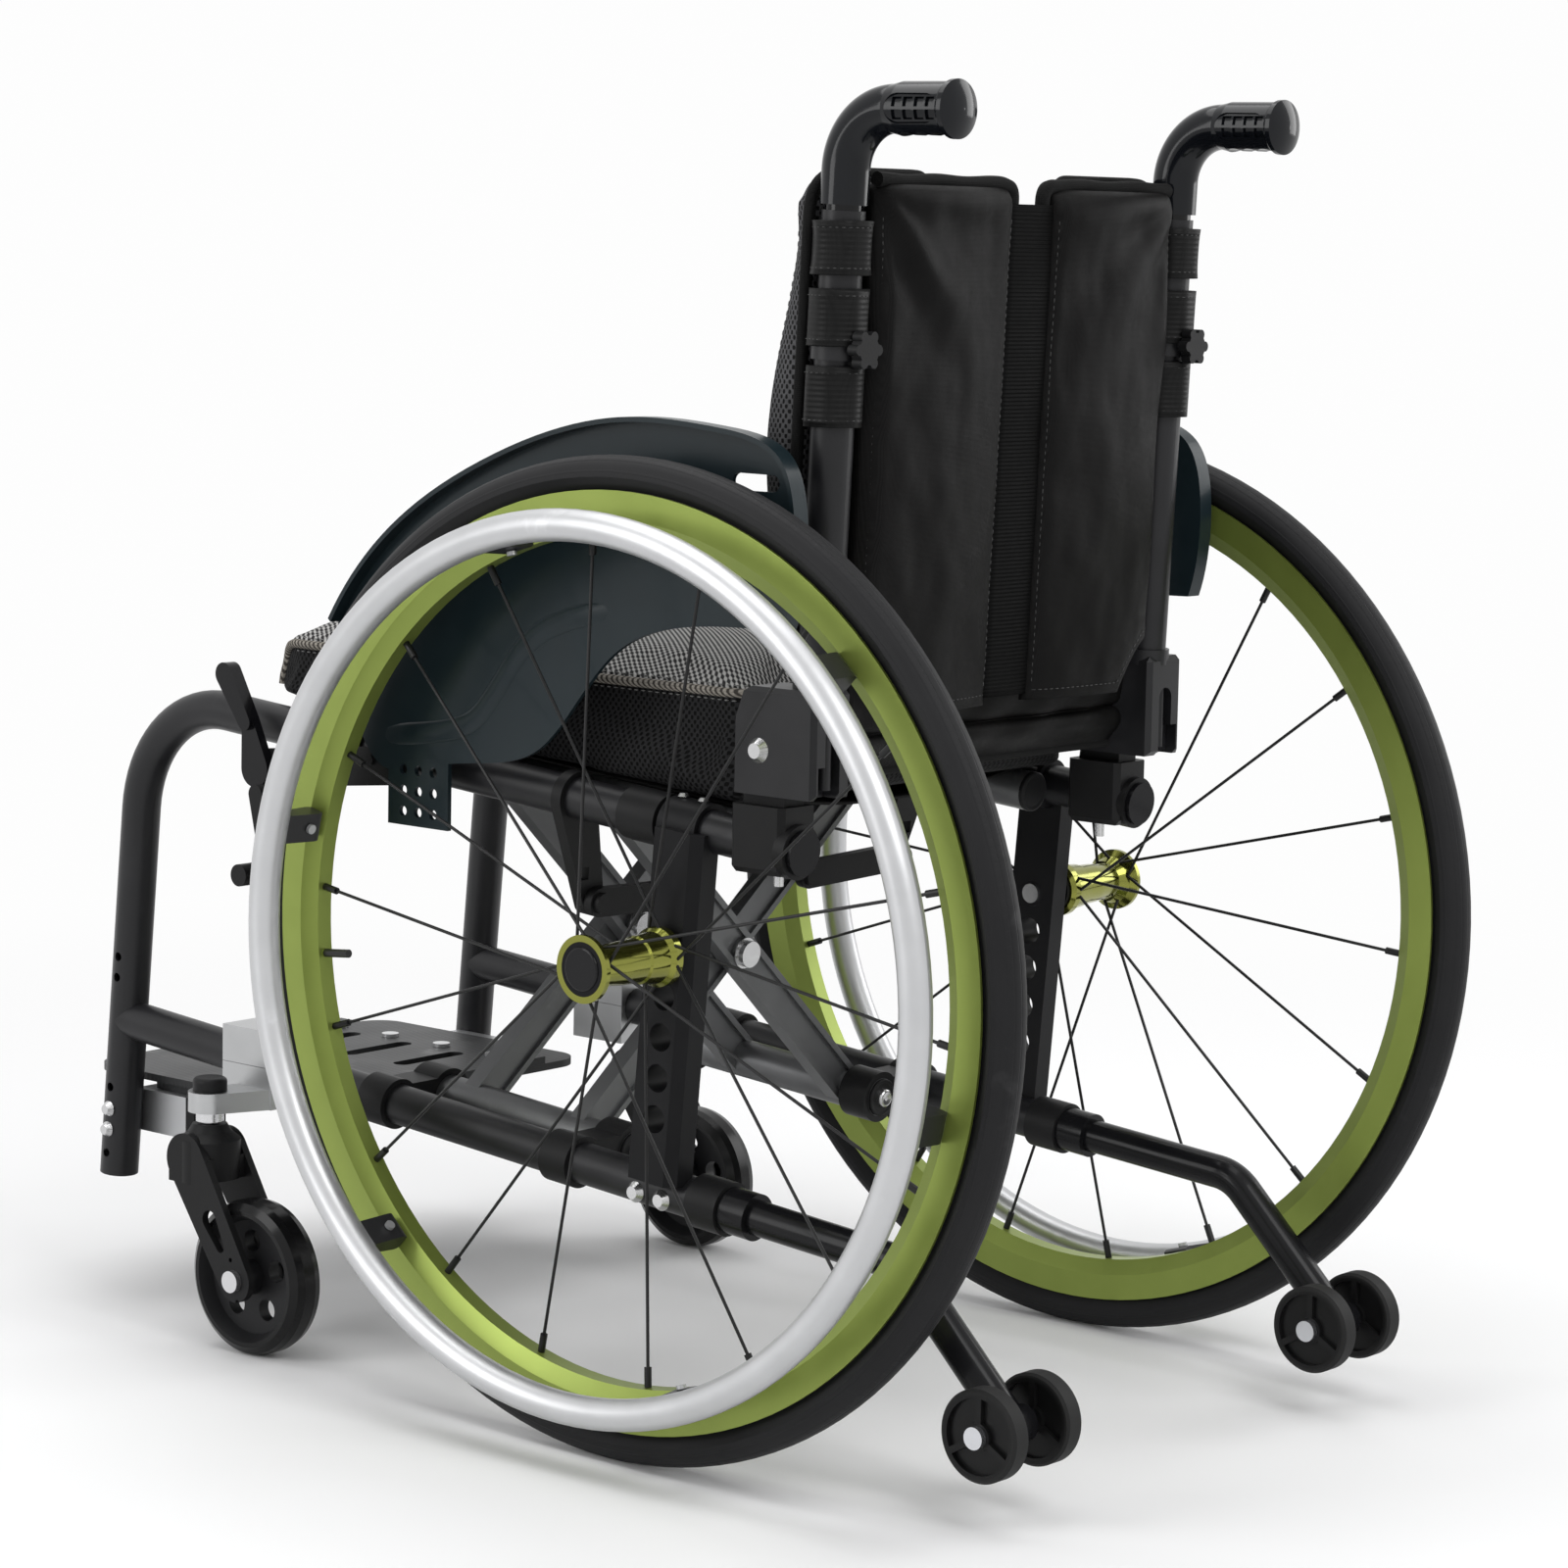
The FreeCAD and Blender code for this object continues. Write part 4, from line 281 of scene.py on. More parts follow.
def coated(name, dark, light, rough, grain_scale, grain_depth, wear, metallic=0.0, coat=0.0, specular=0.5):
    """Coated, cast or moulded skin: grain, mottling, rubbed patches and scratches."""
    made = Finish(name, metallic=metallic, coat=coat, specular=specular)
    grain = use(made.tree, "grain", Vector=made.place, Scale=grain_scale)
    marks = use(made.tree, "wear", Vector=made.place, Amount=wear)
    colour = blended(made.tree, grain["Mottle"], dark, light)
    pale = tuple(min(1.0, c * 1.5 + 0.03) for c in light)
    made.set("Base Color", blended(made.tree, times(made.tree, marks["Rub"], 0.35), colour, pale))
    lifted = maths(made.tree, "MULTIPLY_ADD", grain["Mottle"], 0.16, rough - 0.08)
    made.set("Roughness", minus(made.tree, lifted, times(made.tree, marks["Rub"], 0.07)))
    lines = maths(made.tree, "MULTIPLY_ADD", marks["Scratch"], -1.5, grain["Height"])
    made.bump(lines, grain_depth, 0.6)
    made.colour, made.grain = colour, grain
    return made


def second_finish(made, mask, colour, metallic, roughness):
    """Gives the part of a piece under the mask another finish."""
    tree = made.tree
    base = made.shader.inputs["Base Color"].links[0].from_socket
    made.set("Base Color", blended(tree, mask, base, colour))
    rough = made.shader.inputs["Roughness"]
    before = rough.links[0].from_socket if rough.links else rough.default_value
    keep = times(tree, minus(tree, 1.0, mask), before)
    made.set("Roughness", maths(tree, "MULTIPLY_ADD", mask, roughness, keep))
    start = made.shader.inputs["Metallic"].default_value
    made.set("Metallic", maths(tree, "MULTIPLY_ADD", mask, metallic - start, start))


def powder_black():
    return coated("powder coated black", (0.008, 0.008, 0.009), (0.016, 0.016, 0.018), 0.38, 1300.0, 0.00005, 0.25,
                  specular=0.28)


def bar_black():
    """Anodised bar with a dull skin."""
    return coated("anodised black bar", (0.006, 0.006, 0.007), (0.013, 0.013, 0.014), 0.42, 900.0, 0.00003, 0.3,
                  specular=0.12)


def brace_grey():
    """Drawn alloy bars with a thin dark anodised skin."""
    return coated("dark anodised brace", (0.105, 0.107, 0.110), (0.200, 0.203, 0.207), 0.42, 700.0, 0.00004, 0.5,
                  metallic=0.7)


def cast_black():
    return coated("moulded black nylon", (0.0075, 0.0075, 0.0080), (0.0145, 0.0145, 0.0150), 0.44, 700.0, 0.00010, 0.2,
                  specular=0.14)


def gloss_black():
    return coated("gloss black lacquer", (0.003, 0.003, 0.004), (0.006, 0.006, 0.007), 0.15, 500.0, 0.00002, 0.15,
                  coat=0.28, specular=0.1)


def grip_black():
    return coated("gloss moulded grip", (0.003, 0.0035, 0.005), (0.006, 0.007, 0.009), 0.14, 420.0, 0.00003, 0.1,
                  coat=0.28, specular=0.1)


def guard_teal():
    return coated("dark teal guard", (0.0075, 0.0145, 0.0180), (0.0110, 0.0200, 0.0245), 0.32, 1600.0, 0.00003, 0.2,
                  coat=0.05, specular=0.22)


def rim_green():
    """Satin anodised rim with fine turned lines; its valve is black."""
    made = coated("green anodised rim", (0.215, 0.275, 0.052), (0.265, 0.330, 0.072), 0.36, 1100.0, 0.00004, 0.12,
                  metallic=0.6)
    radius = made.about(REAR_AXLE)["Radius"]
    lines = sine(made.tree, times(made.tree, radius, 9000.0))
    made.bump(maths(made.tree, "MULTIPLY_ADD", lines, 0.15, made.grain["Height"]), 0.00003, 0.5)
    second_finish(made, ramp(made.tree, radius, 0.2496, 0.2492), DULL_BLACK, 0.0, 0.4)
    return made


def hub_green():
    """Polished hub, turned across its length."""
    made = coated("polished green hub", (0.185, 0.192, 0.030), (0.265, 0.272, 0.050), 0.15, 500.0, 0.00002, 0.2,
                  metallic=0.95, coat=0.3)
    turned = sine(made.tree, times(made.tree, made.xyz[0], 9000.0))
    made.bump(turned, 0.000003, 0.3)
    return made


def hand_rim_finish(sign):
    """Satin alloy ring; the clips that carry it are black, each with a bright screw."""
    made = coated("satin alloy hand rim", (0.50, 0.505, 0.515), (0.57, 0.575, 0.585), 0.38, 1500.0, 0.00002, 0.35,
                  metallic=0.75)
    tree = made.tree
    radius = made.about(REAR_AXLE)["Radius"]
    out = minus(tree, made.xyz[0], sign * (WHEEL_X + 0.0435))
    off = minus(tree, radius, 0.257)
    reach = maths(tree, "SQRT", maths(tree, "MULTIPLY_ADD", out, out, times(made.tree, off, off)))
    clip = ramp(tree, reach, 0.00960, 0.00975)
    screw = ramp(tree, radius, 0.2474, 0.2472)
    dull = times(tree, clip, minus(tree, 1.0, screw))
    second_finish(made, dull, DULL_BLACK, 0.0, 0.42)
    return made


def tyre_rubber():
    """Rubber with fine tread lines round the crown and moulded rings on the side."""
    made = coated("tyre rubber", (0.009, 0.009, 0.010), (0.018, 0.018, 0.019), 0.55, 800.0, 0.00008, 0.4,
                  specular=0.16)
    tree = made.tree
    wheel = made.about(REAR_AXLE)
    out = absolute(tree, minus(tree, absolute(tree, made.xyz[0]), WHEEL_X))
    groove = ramp(tree, absolute(tree, minus(tree, out, 0.0048)), 0.0, 0.0006)
    middle = ramp(tree, out, 0.0, 0.0006)
    ribs = ramp(tree, sine(tree, times(tree, wheel["Turn"], 2 * math.pi * 220)), -0.2, 0.3)
    crown = ramp(tree, wheel["Radius"], 0.2925, 0.2935)
    tread = times(made.tree, times(made.tree, groove, middle), maths(tree, "MULTIPLY_ADD", ribs, 0.25, 0.75))
    ring = minus(tree, 1.0, ramp(tree, absolute(tree, minus(tree, wheel["Radius"], 0.2868)), 0.0003, 0.0008))
    height = maths(tree, "MULTIPLY_ADD", times(made.tree, tread, crown), 1.0, times(tree, ring, 0.6))
    fine = made.bump(made.grain["Height"], 0.00008, 0.5)
    made.bump(height, 0.0004, 0.6, under=fine)
    return made


def spoke_black():
    return coated("black spokes", (0.008, 0.008, 0.009), (0.02, 0.02, 0.02), 0.34, 900.0, 0.00001, 0.2, metallic=0.3,
                  specular=0.3)


def bright_steel(name="bright steel"):
    return coated(name, (0.50, 0.50, 0.51), (0.64, 0.64, 0.64), 0.24, 600.0, 0.00003, 0.5, metallic=0.95, specular=0.12)


def frame_bolt_steel():
    """Bright bolts; the plug in the tube's end and the axle's outer disc are black."""
    made = bright_steel("bright frame bolts")
    tree = made.tree
    plug = times(made.tree, ramp(tree, made.xyz[1], 0.2040, 0.2050), ramp(tree, made.xyz[2], 0.381, 0.380))
    disc = ramp(tree, absolute(tree, made.xyz[0]), 0.2500, 0.2502)
    second_finish(made, maths(tree, "MAXIMUM", plug, disc), (0.006, 0.006, 0.007), 0.0, 0.2)
    return made


def bracket_finish():
    """Moulded black clamps; the footplate's hanger is bare satin alloy."""
    made = cast_black()
    made.material.name = "black clamps and alloy hanger"
    hanger = ramp(made.tree, made.xyz[1], -0.3270, -0.3275)
    low = ramp(made.tree, made.xyz[2], 0.170, 0.169)
    second_finish(made, times(made.tree, hanger, low), (0.46, 0.465, 0.475), 0.85, 0.36)
    return made


def caster_arm_alloy():
    return coated("machined alloy arm", (0.40, 0.405, 0.41), (0.50, 0.505, 0.51), 0.33, 900.0, 0.00002, 0.4,
                  metallic=0.9)


def caster_fork_finish():
    """Black fork; its stem nut and axle ends are bright."""
    made = cast_black()
    made.material.name = "black fork and bright axle"
    tree = made.tree
    nut = times(made.tree, ramp(tree, made.xyz[2], 0.1434, 0.1436), ramp(tree, made.xyz[2], 0.1545, 0.1543))
    near = made.about(CASTER_AXLE)["Radius"]
    out = absolute(tree, minus(tree, absolute(tree, made.xyz[0]), CASTER_X))
    end = times(made.tree, ramp(tree, near, 0.0076, 0.0075), ramp(tree, out, 0.0196, 0.0198))
    second_finish(made, maths(tree, "MAXIMUM", nut, end), BRIGHT, 0.95, 0.25)
    return made


def caster_wheel_finish():
    """Glossy solid tyre on a satin moulded wheel."""
    made = coated("caster rubber", (0.005, 0.005, 0.0055), (0.010, 0.010, 0.010), 0.2, 500.0, 0.00004, 0.3,
                  specular=0.2)
    tree = made.tree
    radius = made.about(CASTER_AXLE)["Radius"]
    core = ramp(tree, radius, 0.0412, 0.0410)
    second_finish(made, core, DULL_BLACK, 0.0, 0.42)
    return made


def tip_wheel_finish():
    """Moulded wheel with a rubber tread; the middle of its face is smooth."""
    made = coated("tip wheel", (0.006, 0.006, 0.0065), (0.012, 0.012, 0.012), 0.32, 700.0, 0.00006, 0.3,
                  specular=0.16)
    radius = made.about(TIP_AXLE)["Radius"]
    tread = ramp(made.tree, radius, 0.0240, 0.0243)
    second_finish(made, tread, (0.016, 0.016, 0.016), 0.0, 0.6)
    return made


def tip_tube_finish():
    """Satin black tube; the nuts on its wheels' axle are bright."""
    made = coated("satin black tube", (0.005, 0.005, 0.006), (0.010, 0.010, 0.011), 0.25, 900.0, 0.00003, 0.25,
                  coat=0.1, specular=0.12)
    tree = made.tree
    near = made.about(TIP_AXLE)["Radius"]
    out = absolute(tree, minus(tree, absolute(tree, made.xyz[0]), TIP_X))
    end = times(made.tree, ramp(tree, near, 0.0071, 0.0070), ramp(tree, out, 0.0300, 0.0302))
    second_finish(made, end, (0.62, 0.63, 0.66), 0.95, 0.22)
    return made


def plate_black():
    """Moulded plate with a fine anti-slip pattern on its upper face."""
    made = coated("ribbed footplate", (0.022, 0.023, 0.024), (0.040, 0.041, 0.042), 0.44, 900.0, 0.00008, 0.5,
                  specular=0.25)
    tree = made.tree
    rows = sine(tree, times(tree, made.xyz[1], 2 * math.pi / 0.004))
    face = ramp(tree, made.xyz[2], 0.1385, 0.1390)
    above = ramp(tree, made.xyz[2], 0.1491, 0.1493)
    bolt = maths(tree, "MAXIMUM", above, ramp(tree, made.xyz[2], 0.1389, 0.1387))
    fine = made.bump(made.grain["Height"], 0.00008, 0.5)
    made.bump(times(made.tree, rows, face), 0.00012, 0.35, under=fine)
    second_finish(made, bolt, BRIGHT, 0.9, 0.28)
    return made


def woven(name, dark, light, pitch, depth, rough, specular=0.07):
    """Plain woven cloth with uneven yarn; its raised threads are painted lighter and the hollows between them darker,
    as painted light and shade.
    """
    made = Finish(name, roughness=rough, specular=specular)
    cloth = use(made.tree, "weave", Vector=made.place, Pitch=pitch)
    # Colour: painted light on the raised threads and painted shade in the hollows of the weave, plus uneven yarn tone
    # at random.
    share = maths(made.tree, "MULTIPLY_ADD", cloth["Height"], 0.45, times(made.tree, cloth["Shade"], 0.6))
    made.set("Base Color", blended(made.tree, share, dark, light))
    made.set("Roughness", maths(made.tree, "MULTIPLY_ADD", cloth["Shade"], 0.25, rough - 0.12))
    crease = noise_value(made.tree, made.place, 34.0, 3.0, 0.55)
    soft = made.bump(crease, 0.0016, 0.35)
    made.bump(cloth["Height"], depth, 0.8, under=soft)
    return made


def nylon_black():
    return woven("black nylon cloth", (0.0024, 0.0023, 0.0024), (0.0070, 0.0067, 0.0066), 0.0007, 0.00010, 0.44)


def binding_black():
    return woven("black edge tape", (0.0045, 0.0045, 0.0045), (0.013, 0.013, 0.013), 0.0011, 0.0002, 0.72)


def ribs_up(made, pitch):
    """Ribs that follow one another up the piece."""
    return sine(made.tree, times(made.tree, made.xyz[2], 2 * math.pi / pitch))


def webbing_black():
    """Ribbed webbing: fine ribs across its length."""
    made = woven("black ribbed webbing", (0.0018, 0.0018, 0.0018), (0.0060, 0.0060, 0.0060), 0.0012, 0.00015, 0.6,
                 specular=0.04)
    made.bump(ribs_up(made, 0.0024), 0.00035, 0.8)
    return made


def strap_black():
    """Strap cloth, ribbed across its width."""
    made = woven("black strap", (0.0035, 0.0035, 0.0035), (0.011, 0.011, 0.011), 0.0014, 0.0003, 0.46, specular=0.12)
    made.bump(ribs_up(made, 0.0031), 0.0002, 0.5)
    return made


def back_mesh():
    """Grey spacer mesh; its holes are painted near black as the shade seen into them."""
    made = Finish("back spacer mesh", roughness=0.7, specular=0.12)
    cloth = use(made.tree, "mesh", Vector=made.place, Pitch=0.0050)
    mottle = noise_value(made.tree, made.place, 420.0, 2.0)
    yarn = blended(made.tree, mottle, (0.045, 0.045, 0.047), (0.12, 0.12, 0.125))
    # Painted shade: the holes are painted near black.
    made.set("Base Color", blended(made.tree, cloth["Hole"], yarn, (0.004, 0.004, 0.004)))
    made.bump(cloth["Height"], 0.0009, 0.8)
    return made


CUSHION_FRONT, CUSHION_REAR, CUSHION_HALF = -0.259, 0.169, 0.157
CUSHION_MIDDLE = (CUSHION_FRONT + CUSHION_REAR) / 2
CUSHION_SEAM = 0.4505
NOSE_LINE = 1.398
NOSE_HEIGHT = 0.441


def cushion_cover():
    """Striped grey top and nose, black open mesh on the sides and rear below the piping; the mesh's holes hold painted
    shade.
    """
    made = Finish("cushion cover", roughness=0.72, specular=0.08)
    tree = made.tree
    sides = use(tree, "mesh", Vector=made.place, Pitch=0.0046)
    yarn = blended(tree, noise_value(tree, made.place, 500.0), (0.010, 0.010, 0.0105), (0.030, 0.030, 0.031))
    # Painted shade: the holes in the black side mesh are painted darker still.
    mesh = blended(tree, sides["Hole"], yarn, (0.0025, 0.0025, 0.0025))
    slant = minus(tree, made.xyz[0], times(tree, made.xyz[1], 0.85))
    line = sine(tree, times(tree, slant, 2 * math.pi / 0.0037))
    cross = maths(tree, "ADD", maths(tree, "ADD", made.xyz[0], made.xyz[1]), times(tree, made.xyz[2], 1.4))
    lean = times(tree, slant, math.pi / 0.0037)
    tick = sine(tree, maths(tree, "MULTIPLY_ADD", cross, 2 * math.pi / 0.0046, lean))
    thread = ramp(tree, maths(tree, "MULTIPLY_ADD", line, 0.70, times(tree, tick, 0.50)), -0.50, 0.50)
    top = blended(tree, thread, (0.022, 0.022, 0.0225), (0.430, 0.425, 0.415))
    above = ramp(tree, made.xyz[2], CUSHION_SEAM - 0.0003, CUSHION_SEAM + 0.0003)
    lead = minus(tree, CUSHION_MIDDLE, made.xyz[1])
    aside = times(tree, absolute(tree, made.xyz[0]), NOSE_LINE)
    nose = ramp(tree, minus(tree, lead, aside), -0.0004, 0.0004)
    above = maths(tree, "MAXIMUM", above, nose)
    made.set("Base Color", blended(tree, above, mesh, top))
    height = maths(tree, "ADD", times(tree, above, thread), times(tree, minus(tree, 1.0, above), sides["Height"]))
    made.bump(height, 0.0010, 0.85)
    return made


def piping_beige():
    """Coarse knitted piping: beige loops, with painted shade in the grooves between them."""
    made = woven("beige piping", (0.14, 0.128, 0.110), (0.42, 0.390, 0.345), 0.0016, 0.0003, 0.8)
    tree = made.tree
    run = maths(tree, "ADD", maths(tree, "ADD", made.xyz[0], made.xyz[1]), times(tree, made.xyz[2], 0.8))
    loops = ramp(tree, sine(tree, times(tree, run, 2 * math.pi / 0.0042)), -0.7, 0.3)
    base = made.shader.inputs["Base Color"].links[0].from_socket
    # Painted shade: the grooves between the loops are painted a dark grey-brown.
    made.set("Base Color", blended(tree, loops, (0.055, 0.050, 0.044), base))
    made.bump(loops, 0.0007, 0.9)
    return made


def sewing_thread(name, roughness, axis, dark, light):
    """Twisted thread; its twist follows Z and one more axis. The twist's ridges are painted light and its grooves dark,
    as painted light and shade.
    """
    made = Finish(name, roughness=roughness, sheen=0.2)
    tree = made.tree
    twist = sine(tree, times(tree, maths(tree, "ADD", made.xyz[axis], made.xyz[2]), 9000.0))
    # Painted light on the ridges of the twist and painted shade in its grooves.
    made.set("Base Color", blended(tree, ramp(tree, twist, -1.0, 1.0), dark, light))
    made.bump(twist, 0.0001, 0.5)
    return made


def dress(node, finish):
    """Gives a solid from the frame its finish."""
    piece = nodes[node]
    piece.data.materials.clear()
    piece.data.materials.append(finish.material)


def dress_frame(guard, cast, steel):
    powder, brace, gloss = powder_black(), brace_grey(), gloss_black()
    bolts, brackets, arm = frame_bolt_steel(), bracket_finish(), caster_arm_alloy()
    tip_wheel, plate, grip = tip_wheel_finish(), plate_black(), grip_black()
    tyre, rim, hub, spokes = tyre_rubber(), rim_green(), hub_green(), spoke_black()
    bar, fork, roller, tip_tube = bar_black(), caster_fork_finish(), caster_wheel_finish(), tip_tube_finish()
    pairs = {"tyre": tyre, "rim": rim, "hub": hub, "spokes": spokes, "axle_button": gloss, "side_frame": powder,
             "axle_bar": bar, "frame_brackets": brackets, "frame_bolts": bolts, "stabiliser_link": cast,
             "hinge_base": cast, "back_post": powder, "push_handle": gloss, "grip": grip, "star_knob": cast,
             "side_guard": guard, "lock_mount": cast, "lock_lever": gloss, "lock_shoe": cast, "caster_arm": arm,
             "caster_fork": fork, "caster_wheel": roller, "tip_tube": tip_tube, "outer_tip_wheel": tip_wheel,
             "inner_tip_wheel": tip_wheel, "cross_brace": brace}
    for side, sign in SIDES:
        for node, finish in pairs.items():
            dress(side + "_" + node, finish)
        dress(side + "_hand_rim", hand_rim_finish(sign))
    dress("centre_bolts", steel)
    for node in ("footplate_left", "footplate_right"):
        dress(node, plate)


# Making pieces

def add_piece(name, data, finish, body, smooth=True):
    """Shows a mesh as a piece that rides on a body."""
    piece = bpy.data.objects.new(name, data)
    scene.collection.objects.link(piece)
    data.materials.clear()
    data.materials.append(finish.material)
    for face in data.polygons:
        face.use_smooth = smooth
    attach(piece, body)
    return piece


def new_piece(name, mesh, finish, body, smooth=True):
    """Turns a bmesh into a piece that rides on a body."""
    bmesh.ops.recalc_face_normals(mesh, faces=mesh.faces[:])
    data = bpy.data.meshes.new(name)
    mesh.to_mesh(data)
    mesh.free()
    return add_piece(name, data, finish, body, smooth)


def rounded(piece):
    made = piece.modifiers.new("smooth", "SUBSURF")
    made.levels = made.render_levels = 1


def settled(piece):
    """Applies the piece's modifiers to its mesh."""
    bpy.context.view_layer.update()
    shown = piece.evaluated_get(bpy.context.evaluated_depsgraph_get())
    data = bpy.data.meshes.new_from_object(shown)
    data.name = piece.name
    piece.modifiers.clear()
    piece.data = data
    for face in data.polygons:
        face.use_smooth = True


def remeshed(piece, voxel):
    made = piece.modifiers.new("even", "REMESH")
    made.mode, made.voxel_size, made.use_smooth_shade = "VOXEL", voxel, True
    settled(piece)


def thickened(piece, thickness, offset=0.0):
    """Gives a sheet the thickness of its cloth."""
    wall = piece.modifiers.new("cloth", "SOLIDIFY")
    wall.thickness, wall.offset = thickness, offset
    settled(piece)


def blow_up(piece, pressure, most, held):
    """Fills a closed cover as wadding does. No point moves further than most; held(point) points stay."""
    start = [v.co.copy() for v in piece.data.vertices]
    cloth = piece.modifiers.new("padding", "CLOTH")
    cloth.settings.use_pressure = True
    cloth.settings.uniform_pressure_force = pressure
    cloth.settings.effector_weights.gravity = 0
    cloth.settings.quality = 5
    cloth.settings.tension_stiffness = cloth.settings.compression_stiffness = 8
    cloth.settings.bending_stiffness = 0.6
    cloth.point_cache.frame_start, cloth.point_cache.frame_end = 1, 20
    pinned = piece.vertex_groups.new(name="held")
    pinned.add([i for i, p in enumerate(start) if held(p)], 1.0, "REPLACE")
    cloth.settings.vertex_group_mass = "held"
    for step in range(1, 21):
        scene.frame_set(step)
    shown = piece.evaluated_get(bpy.context.evaluated_depsgraph_get())
    moved = [v.co.copy() for v in shown.data.vertices]
    piece.modifiers.clear()
    for vertex, before, after in zip(piece.data.vertices, start, moved):
        shift = after - before
        if shift.length > most:
            shift *= most / shift.length
        vertex.co = before + shift
    scene.frame_set(1)


def swept(name, path, radius, finish, body, closed=False):
    """Round trim along a path of points."""
    curve = bpy.data.curves.new(name, "CURVE")
    curve.dimensions = "3D"
    curve.bevel_depth, curve.bevel_resolution, curve.use_fill_caps = radius, 3, True
    line = curve.splines.new("NURBS")
    line.points.add(len(path) - 1)
    for point, at in zip(line.points, path):
        point.co = (*at, 1)
    line.order_u, line.use_endpoint_u, line.use_cyclic_u = 3, not closed, closed
    line.resolution_u = 4
    holder = bpy.data.objects.new(name, curve)
    scene.collection.objects.link(holder)
    bpy.context.view_layer.update()
    data = bpy.data.meshes.new_from_object(holder.evaluated_get(bpy.context.evaluated_depsgraph_get()))
    bpy.data.objects.remove(holder)
    data.name = name
    return add_piece(name, data, finish, body)


def outline(corners, step=0.010):
    """Points round a flat outline; each corner is (x, z, radius)."""
    points = []
    count = len(corners)
    runs = []
    for number in range(count):
        before, here, after = (Vector(corners[(number + k) % count][:2]) for k in (-1, 0, 1))
        radius = corners[number][2]
        start = here + (before - here).normalized() * radius
        end = here + (after - here).normalized() * radius
        runs.append([start * (1 - t) ** 2 + here * 2 * t * (1 - t) + end * t ** 2 for t in (k / 6 for k in range(7))])
    for number, run in enumerate(runs):
        points += run
        gap = runs[(number + 1) % count][0] - run[-1]
        cuts = int(gap.length / step)
        points += [run[-1] + gap * k / (cuts + 1) for k in range(1, cuts + 1)]
    return points


def surface_of(piece):
    data = piece.data
    return BVHTree.FromPolygons([v.co for v in data.vertices], [f.vertices for f in data.polygons])


def stitches(name, path, pitch, length, thick, finish, body):
    """A row of sewn stitches along a path of points."""
    mesh = bmesh.new()
    total = [0.0]
    for a, b in zip(path, path[1:]):
        total.append(total[-1] + (b - a).length)
    count = int(total[-1] / pitch)
    at = 0
    for number in range(count):
        middle = (number + 0.5) * pitch
        while at < len(path) - 2 and total[at + 1] < middle:
            at += 1
        run = path[at + 1] - path[at]
        share = (middle - total[at]) / max(run.length, 1e-9)
        place = path[at].lerp(path[at + 1], share)
        turn = run.normalized().to_track_quat("X", "Z").to_matrix().to_4x4()
        made = bmesh.ops.create_icosphere(mesh, subdivisions=1, radius=1.0)
        shape = Matrix.Translation(place) @ turn @ Matrix.Diagonal((length / 2, thick, thick * 0.7, 1))
        bmesh.ops.transform(mesh, matrix=shape, verts=made["verts"])
    return new_piece(name, mesh, finish, body)


# Seat

def cushion_base(y):
    return seat_rail_z(y) + TUBE_RADIUS + 0.0042


